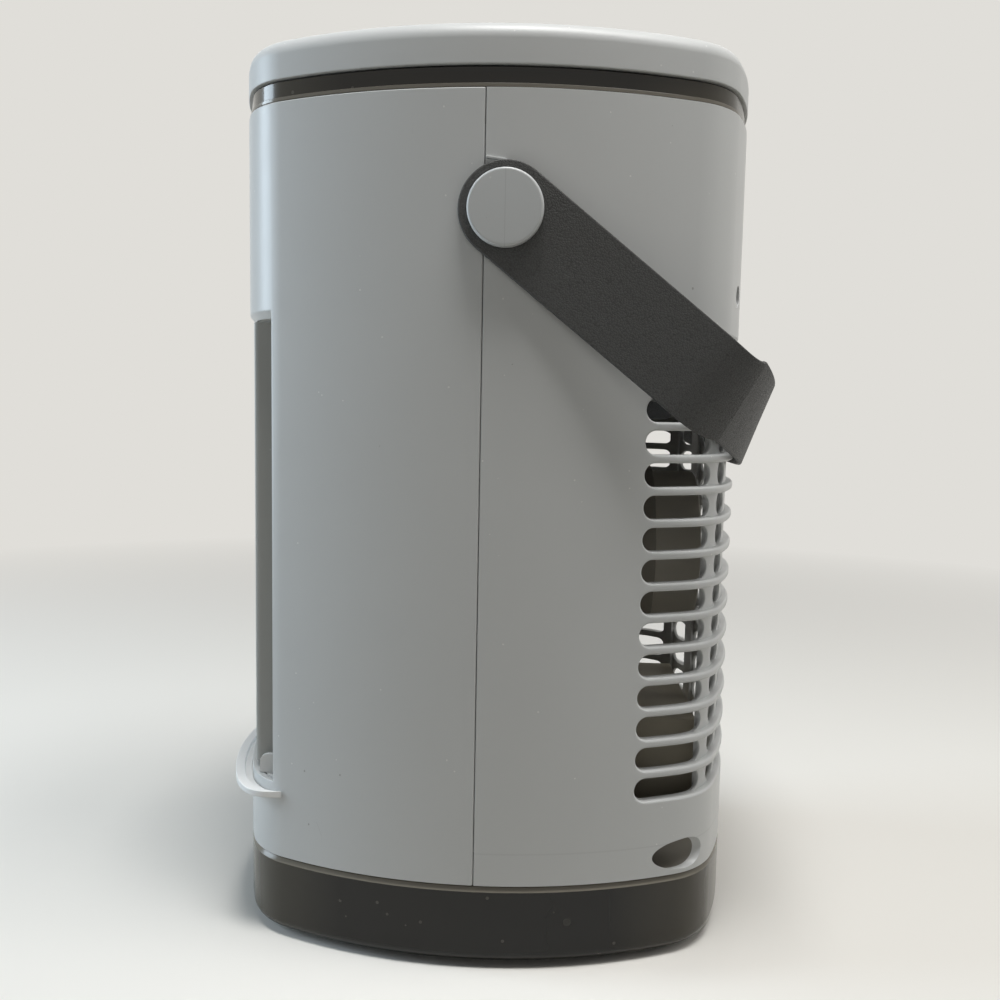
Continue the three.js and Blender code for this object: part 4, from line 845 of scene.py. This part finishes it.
ready(topCap(), "housing", capPlastic, ["top_cap"])
ready(lightBand(), "housing", bandFinish, ["light_band"])
ready(waterTank(), "tank", smoked, ["water_tank"])
for place in ("front_right", "rear_right", "rear_left", "front_left"):
    node = "foot_" + place
    ready(foot("pad_" + place, node), "tank", rubber, [node], shift=False)
print("cap, band and tank made")


# drip lip
lip = {"reach": 7.2 * mm, "rim": 4 * mm, "floor": 1.2 * mm, "start": 79.9 * mm, "blend": 12 * mm,
       "bite": -0.3 * mm, "edgeRound": 0.4 * mm, "leastShare": 0.04, "divisions": 15}


def dripLip():
    low, high = corners("drip_lip")
    start = lengthWhere(lambda p: p.y > lip["start"])
    stop = wholeLength - start
    body = block("dripLip", (start, -lip["reach"], low.z), (stop, lip["bite"], high.z))
    trough = block("trough", (start - 10 * mm, lip["rim"] - lip["reach"], low.z + lip["floor"]),
                   (stop + 10 * mm, 10 * mm, high.z + 10 * mm))
    combine(body, trough, "DIFFERENCE")
    softenEdges(body, lip["edgeRound"], 3)
    steps = [i * mm for i in range(1, lip["divisions"] + 1)]
    divideAt(body, [mark for step in steps for mark in (start + step, stop - step)])
    for v in body.data.vertices:  # the lip grows out of the wall at both of its ends
        along = min(v.co.x, wholeLength - v.co.x)
        past = (pathPoint(max(along, 0)).y - lip["start"]) / lip["blend"]
        ease = math.sin(min(max(past, 0), 1) * math.pi / 2)
        v.co.y = lip["bite"] + (v.co.y - lip["bite"]) * max(ease, lip["leastShare"])
    return rotate(bendRound(body), math.pi, "Z", (0, 0, 0))


ready(dripLip(), "housing", lipPaintedLight, ["drip_lip"])
print("lip made")


# vanes
vane = {"nose": 10 * mm, "tail": 12 * mm, "half": 1 * mm, "rib": 1.6 * mm, "ribWidth": 2.2 * mm,
        "tip": 0.35 * mm, "noseRound": 2.5 * mm, "step": 0.5 * mm, "edgeRound": 0.3 * mm,
        "pin": 1.5 * mm, "crank": 1 * mm, "crankReach": 8 * mm, "crankDrop": 2.2 * mm, "endGap": 0.6 * mm}
bladeLow = linkHigh.z + vane["endGap"]
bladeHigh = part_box("vane_rail_upper")[0][2] - vane["endGap"]


def vaneHalf(y):  # half the vane's thickness, from its nose to its tail
    rib = vane["rib"] * math.exp(-(y / vane["ribWidth"]) ** 2)
    if y >= 0:
        return max(rib, vane["half"] + (vane["tip"] - vane["half"]) * y / vane["tail"])
    into = (vane["noseRound"] - vane["nose"] - y) / vane["noseRound"]
    return max(rib, vane["half"] * math.sqrt(max(0, 1 - max(0, into) ** 2)))


def outletVane(node, name):
    low, high = corners(node)
    x, y = (low.x + high.x) / 2, low.y + vane["nose"]
    lengths = [vane["step"] * i - vane["nose"] for i in range(1, 44)]
    right = [(x + vaneHalf(t), y + t, bladeLow) for t in lengths]
    left = [(x - vaneHalf(t), y + t, bladeLow) for t in reversed(lengths)]
    outline = [(x, y - vane["nose"], bladeLow), *right, *left]
    blade = softenEdges(extruded(name, outline, (0, 0, bladeHigh - bladeLow)), vane["edgeRound"], 2, 60)
    combine(blade, rod("pin", "z", vane["pin"], low.z, high.z, (x, y), 20), "UNION")
    crank = rod("crank", "z", vane["crank"], bladeLow - vane["crankDrop"], bladeLow + mm,
                (x, y + vane["crankReach"]), 16)
    return combine(blade, crank, "UNION")


for i in range(1, 6):
    node = f"vane_{i}"
    ready(outletVane(node, f"vaneBlade_{i}"), node, vanePlastic, [node], shift=False)
print("vanes made")


# carry strap and its buttons
strap = {"width": 35 * mm, "thickness": 2.2 * mm, "gap": 1.1 * mm, "tilt": 39, "gripTilt": 19.3,
         "gripRise": 6.6 * mm, "endRadius": 150 * mm, "cornerRadius": 24 * mm, "restGap": 1 * mm,
         "edgeRound": 0.65 * mm, "hole": 7.6 * mm, "steps": 12}


def strapReach():
    lean = strap["width"] / 2 * math.sin(math.radians(strap["gripTilt"]))
    gripY = halfLength + strap["restGap"] + strap["thickness"] / 2 + lean
    slope = math.radians(strap["tilt"])
    return (gripY - pivot.y - strap["gripRise"] * math.sin(slope)) / math.cos(slope)


def strapStations():  # across, away from the pivots, and turn, along half of the strap's middle line
    half = halfWidth + strap["gap"] + strap["thickness"] / 2
    radius, bend = strap["endRadius"], strap["cornerRadius"]
    endY, side = strapReach() - radius, half - bend
    drop = math.sqrt((radius - bend) ** 2 - side ** 2)
    cornerY, turnB = endY + drop, math.atan2(drop, side)
    shares = [i / strap["steps"] for i in range(1, strap["steps"] + 1)]
    places = [(half, cornerY * share, 0) for share in [0, *shares]]
    for t in [turnB * share for share in shares]:
        places.append((side + bend * math.cos(t), cornerY + bend * math.sin(t), t))
    for t in [turnB + (math.pi / 2 - turnB) * share for share in shares]:
        places.append((radius * math.cos(t), endY + radius * math.sin(t), t))
    return places


def strapPlace(x, u, turn):  # the frame of one cross-section: along, across the width, out
    slope = math.radians(strap["tilt"])
    share = math.sin(turn) ** 4
    lean = math.radians(strap["tilt"] + (strap["gripTilt"] - strap["tilt"]) * share)
    rise = strap["gripRise"] * share
    centre = Vector((x, pivot.y + u * math.cos(slope) + rise * math.sin(slope),
                     pivot.z - u * math.sin(slope) + rise * math.cos(slope)))
    forward = Vector((-math.sin(turn), math.cos(turn) * math.cos(slope), -math.cos(turn) * math.sin(slope)))
    across = Vector((0, math.sin(lean), math.cos(lean)))
    across = (across - forward * across.dot(forward)).normalized()
    out = forward.cross(across)
    if out.x < 0 or (turn > 1 and out.y < 0):
        out = -out
    frameAt = Matrix((forward, across, out)).transposed().to_4x4()
    frameAt.translation = centre
    return frameAt


def strapSection():  # the strap's section, with rounded edges
    r = strap["edgeRound"]
    w, t = strap["width"] / 2 - r, strap["thickness"] / 2 - r
    ring = []
    for across, out, start in ((w, t, 0), (-w, t, 90), (-w, -t, 180), (w, -t, 270)):
        ring += roundArcs((across, out), r, start, start + 90, 4)
    return ring


def carryStrap():
    places = [strapPlace(*station) for station in strapStations()]
    points = [tuple(places[0] @ Vector((0, a, b))) for a, b in strapSection()]
    piece = chain("carryStrap", points + points[:1])
    mergeAll()
    bpy.ops.mesh.edge_face_add()
    for before, after in zip(places, places[1:]):
        bpy.ops.mesh.extrude_region_move()
        step = after @ before.inverted()
        mesh = bmesh.from_edit_mesh(piece.data)
        for v in mesh.verts:
            if v.select:
                v.co = step @ v.co
        bmesh.update_edit_mesh(piece.data)
    pick(piece, "FACE", lambda middle, normal: abs(middle.x) < 0.1 * mm and abs(normal.x) > 0.99)
    bpy.ops.mesh.delete(type="ONLY_FACE")
    leaveEdit()
    for v in piece.data.vertices:
        if abs(v.co.x) < 10 * tiny:
            v.co.x = 0
    applyModifier(piece, "MIRROR", use_axis=(True, False, False), merge_threshold=10 * tiny)
    closeAndTurnOut(piece)
    inner, centre = halfWidth + strap["gap"], (pivot.y, pivot.z)
    for side in (1, -1):
        start, stop = sorted((side * inner, side * (inner + strap["thickness"])))
        disc = rod("disc", "x", strap["width"] / 2, start, stop, centre, 64)
        combine(piece, softenEdges(disc, strap["edgeRound"], 4), "UNION")
    for side in (1, -1):
        start, stop = sorted((side * (inner - 2 * mm), side * (inner + 5 * mm)))
        combine(piece, rod("hole", "x", strap["hole"], start, stop, centre, 32), "DIFFERENCE")
    return piece


button = {"radius": 13.9 * mm, "round": 1.1 * mm, "head": 4 * mm, "stem": 5 * mm, "bore": 2.2 * mm,
          "boreDepth": 0.5 * mm, "crown": 0.12 * mm, "ease": 0.3 * mm, "steps": 72}


def strapButton():  # a solid of revolution about the strap's pivot line
    face, radius, r, ease = buttonHigh.x, button["radius"], button["round"], button["ease"]
    head, crown, stem = face - button["head"], button["crown"], button["stem"]
    bottom = head - button["boreDepth"]
    rim = [(face - r - crown + dx, radius - r + dr) for dx, dr in roundArcs((0, 0), r, 90, 0, 6)]
    profile = [(bottom, 0), (bottom, button["bore"]), (buttonLow.x, button["bore"]),
               (buttonLow.x, stem - ease), (buttonLow.x + ease, stem), (head, stem), (head, radius - ease),
               (head + ease, radius), *rim, (face - crown * 0.4, radius * 0.5), (face, 0)]
    piece = chain("strapButton_right", [(x, pivot.y, pivot.z + out) for x, out in profile])
    bpy.ops.mesh.select_all(action="SELECT")
    bpy.ops.mesh.spin(steps=button["steps"], angle=2 * math.pi, center=(0, pivot.y, pivot.z), axis=(1, 0, 0))
    leaveEdit()
    return closeAndTurnOut(piece)


ready(carryStrap(), "carry_strap", leather, ["carry_strap"], angle=40)
right = strapButton()
left = mirrored(right, "strapButton_left")
ready(right, "housing", buttonPlastic, ["strap_button_right"])
ready(left, "housing", buttonPlastic, ["strap_button_left"])
print("strap made")


# smaller pieces: copies of the CAD solids with their edges eased
def easedCopy(node, name, width, segments=2):
    piece = copyOf(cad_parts[node], name)
    for key in list(piece.keys()):
        del piece[key]
    bpy.ops.object.mode_set(mode="EDIT")
    mergeAll()
    bpy.ops.mesh.dissolve_limited(angle_limit=math.radians(0.5))
    leaveEdit()
    return softenEdges(piece, width, segments, 40)


eased = [
    ("vane_rail_lower", "railLower", "shell_white", trimPlastic, 0.5),
    ("vane_rail_upper", "railUpper", "shell_white", trimPlastic, 0.4),
    ("vane_link", "vaneLinkBar", "grey_plastic", greyPlastic, 0.25),
    ("electrics_cover", "electricsBox", "dark_plastic", coverPlastic, 0.8),
    ("base_plate", "basePlate", "dark_plastic", darkPlastic, 0.3),
    ("upper_deck", "upperDeck", "dark_plastic", darkPlastic, 0.3),
    ("control_panel", "controlPanel", "dark_plastic", panelPlastic, 0.25),
    ("drip_trough", "dripTrough", "shell_white", trimPlastic, 0.3),
    ("motor_mount", "motorMount", "dark_plastic", darkPlastic, 0.4),
    ("fan_bulkhead", "fanBulkhead", "dark_plastic", darkPlastic, 0.4),
    ("power_inlet", "powerInlet", "dark_plastic", darkPlastic, 0.2),
    ("fan_motor", "fanMotor", "motor_metal", motorMetal, 1.2),
]
for node, name, slotName, finish, width in eased:
    body = "vane_link" if node == "vane_link" else "housing"
    ready(easedCopy(node, name, width * mm), body, finish, [node], shift=False)
for key in ("power", "speed", "mist", "swing"):
    node = key + "_key"
    ready(easedCopy(node, key + "Cap", 0.5 * mm, 3), node, keyPlastic, [node], shift=False)

plain = {"fan_rotor": greyPlastic, "motor_shaft": steel, "wick_pad": paper, "wick_frame": trimPlastic,
         "water_pump": darkPlastic, "pump_hose": greyPlastic, "main_board": board, "control_board": board,
         "swing_motor": steel, "swing_shaft": trimPlastic}
for side in ("right", "left"):
    plain["strap_bush_" + side] = greyPlastic
    for screw in ("strap_screw_", "screw_lower_", "screw_upper_"):
        plain[screw + side] = steel
for node, finish in plain.items():
    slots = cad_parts[node].data.materials
    slots.clear()
    slots.append(finish.material)
bpy.data.objects.remove(planPath)
print("inner pieces made")


# stage, lights and camera
stage = {"size": 24, "seenTone": tone(240, 238, 233), "lightTone": tone(158, 155, 148),
         "paleTone": tone(224, 222, 217), "fadeFrom": 0.35, "fadeTo": 1.2, "worldStrength": 0.09}
paleRays = ("Is Camera Ray", "Is Glossy Ray", "Is Transmission Ray")


def stageFinish():  # camera, metal and glass see a pale stage, which fades to one flat tone far away
    finish = Finish("paleStage", stage["lightTone"], 0.9)
    rays = [finish.node("ShaderNodeLightPath", {}, {}, ray) for ray in paleRays]
    seen = finish.node("ShaderNodeMath", {"operation": "ADD", "use_clamp": True},
                       {0: rays[0], 1: rays[1] + rays[2]})
    finish.feed("Base Color", finish.mix(seen, stage["lightTone"], stage["seenTone"]))
    far = finish.between(stage["fadeFrom"], stage["fadeTo"], finish.measure("LENGTH", finish.place))
    glow = finish.node("ShaderNodeEmission", {}, {"Color": (*stage["paleTone"], 1), "Strength": 1.0})
    near = Value(finish, finish.shader.outputs[0])
    mixed = finish.node("ShaderNodeMixShader", {}, {0: seen * far, 1: near, 2: glow})
    finish.link(mixed, finish.tree.nodes["Material Output"].inputs["Surface"])
    return finish


def floor():
    clearSelection()
    bpy.ops.mesh.primitive_plane_add(size=stage["size"], location=(0, 0, 0))
    ground = named("floor")
    ground.data.materials.append(stageFinish().material)


softboxes = {
    "overhead": {"place": (0.25, 0.04, 1.5), "target": (0.05, 0, 0.2), "size": (0.35, 0.35), "power": 11,
                 "colour": (1, 0.995, 0.98), "mirrors": True},
    "rearTop": {"place": (0.26, 0.45, 1.4), "target": (0.05, 0.08, 0.2), "size": (0.4, 0.4), "power": 5,
                "colour": (1, 0.99, 0.97), "mirrors": True},
    "frontFill": {"place": (0.02, -1.4, 0.5), "target": (0, 0, 0.18), "size": (0.5, 0.9), "power": 12.5,
                  "colour": (0.74, 0.88, 1), "mirrors": True},
    "rearFill": {"place": (-0.05, 1.4, 0.75), "target": (0, 0, 0.2), "size": (0.6, 0.9), "power": 5,
                 "colour": (1, 0.98, 0.94), "mirrors": False},
    "sideFill": {"place": (1.8, 0.2, 0.3), "target": (0, 0, 0.12), "size": (1.4, 1.0), "power": 1.8,
                 "colour": (1, 1, 1), "mirrors": False},
}


def hang(name, box):
    lamp = bpy.data.lights.new(name, "AREA")
    lamp.shape = "RECTANGLE"
    lamp.size, lamp.size_y = box["size"]
    lamp.energy = box["power"]
    lamp.color = box["colour"]
    light = bpy.data.objects.new(name, lamp)
    bpy.context.scene.collection.objects.link(light)
    light.location = box["place"]
    light.rotation_mode = "QUATERNION"
    light.rotation_quaternion = (Vector(box["target"]) - Vector(box["place"])).to_track_quat("-Z", "Y")
    light.visible_glossy = box["mirrors"]


def paleWorld():  # strength 1 where it is seen, and weak where it only lights
    world = bpy.data.worlds.new("studio")
    world.use_nodes = True
    nodes, links = world.node_tree.nodes, world.node_tree.links
    background = nodes["Background"]
    background.inputs["Color"].default_value = (*stage["paleTone"], 1)
    rays = nodes.new("ShaderNodeLightPath")
    seen = rays.outputs[paleRays[0]]
    for ray in paleRays[1:]:
        either = nodes.new("ShaderNodeMath")
        either.operation = "MAXIMUM"
        links.new(seen, either.inputs[0])
        links.new(rays.outputs[ray], either.inputs[1])
        seen = either.outputs[0]
    strength = nodes.new("ShaderNodeMapRange")
    strength.inputs["To Min"].default_value = stage["worldStrength"]
    links.new(seen, strength.inputs["Value"])
    links.new(strength.outputs["Result"], background.inputs["Strength"])
    bpy.context.scene.world = world


view = {"lens": 34.664, "sensor": 36, "x": 443.5 * mm, "y": 26.26 * mm, "z": 219.33 * mm,
        "yaw": -0.051649, "pitch": 0.095589, "roll": 0.018977}


def camera():
    data = bpy.data.cameras.new("camera")
    data.lens = view["lens"]
    data.sensor_width = view["sensor"]
    eye = bpy.data.objects.new("camera", data)
    bpy.context.scene.collection.objects.link(eye)
    yaw, pitch, roll = view["yaw"], view["pitch"], view["roll"]
    level = Vector((-math.cos(yaw), math.sin(yaw), 0))
    right = Vector((math.sin(yaw), math.cos(yaw), 0))
    up = Vector((0, 0, 1))
    forward = level * math.cos(pitch) - up * math.sin(pitch)
    upright = up * math.cos(pitch) + level * math.sin(pitch)
    right, upright = (right * math.cos(roll) + upright * math.sin(roll),
                      upright * math.cos(roll) - right * math.sin(roll))
    eye.matrix_world = Matrix((right, upright, -forward)).transposed().to_4x4()
    eye.location = (view["x"], view["y"] + midY, view["z"])
    bpy.context.scene.camera = eye


floor()
for name, box in softboxes.items():
    hang(name, box)
paleWorld()
camera()
bpy.context.scene.view_settings.view_transform = "Standard"

print("scene done")
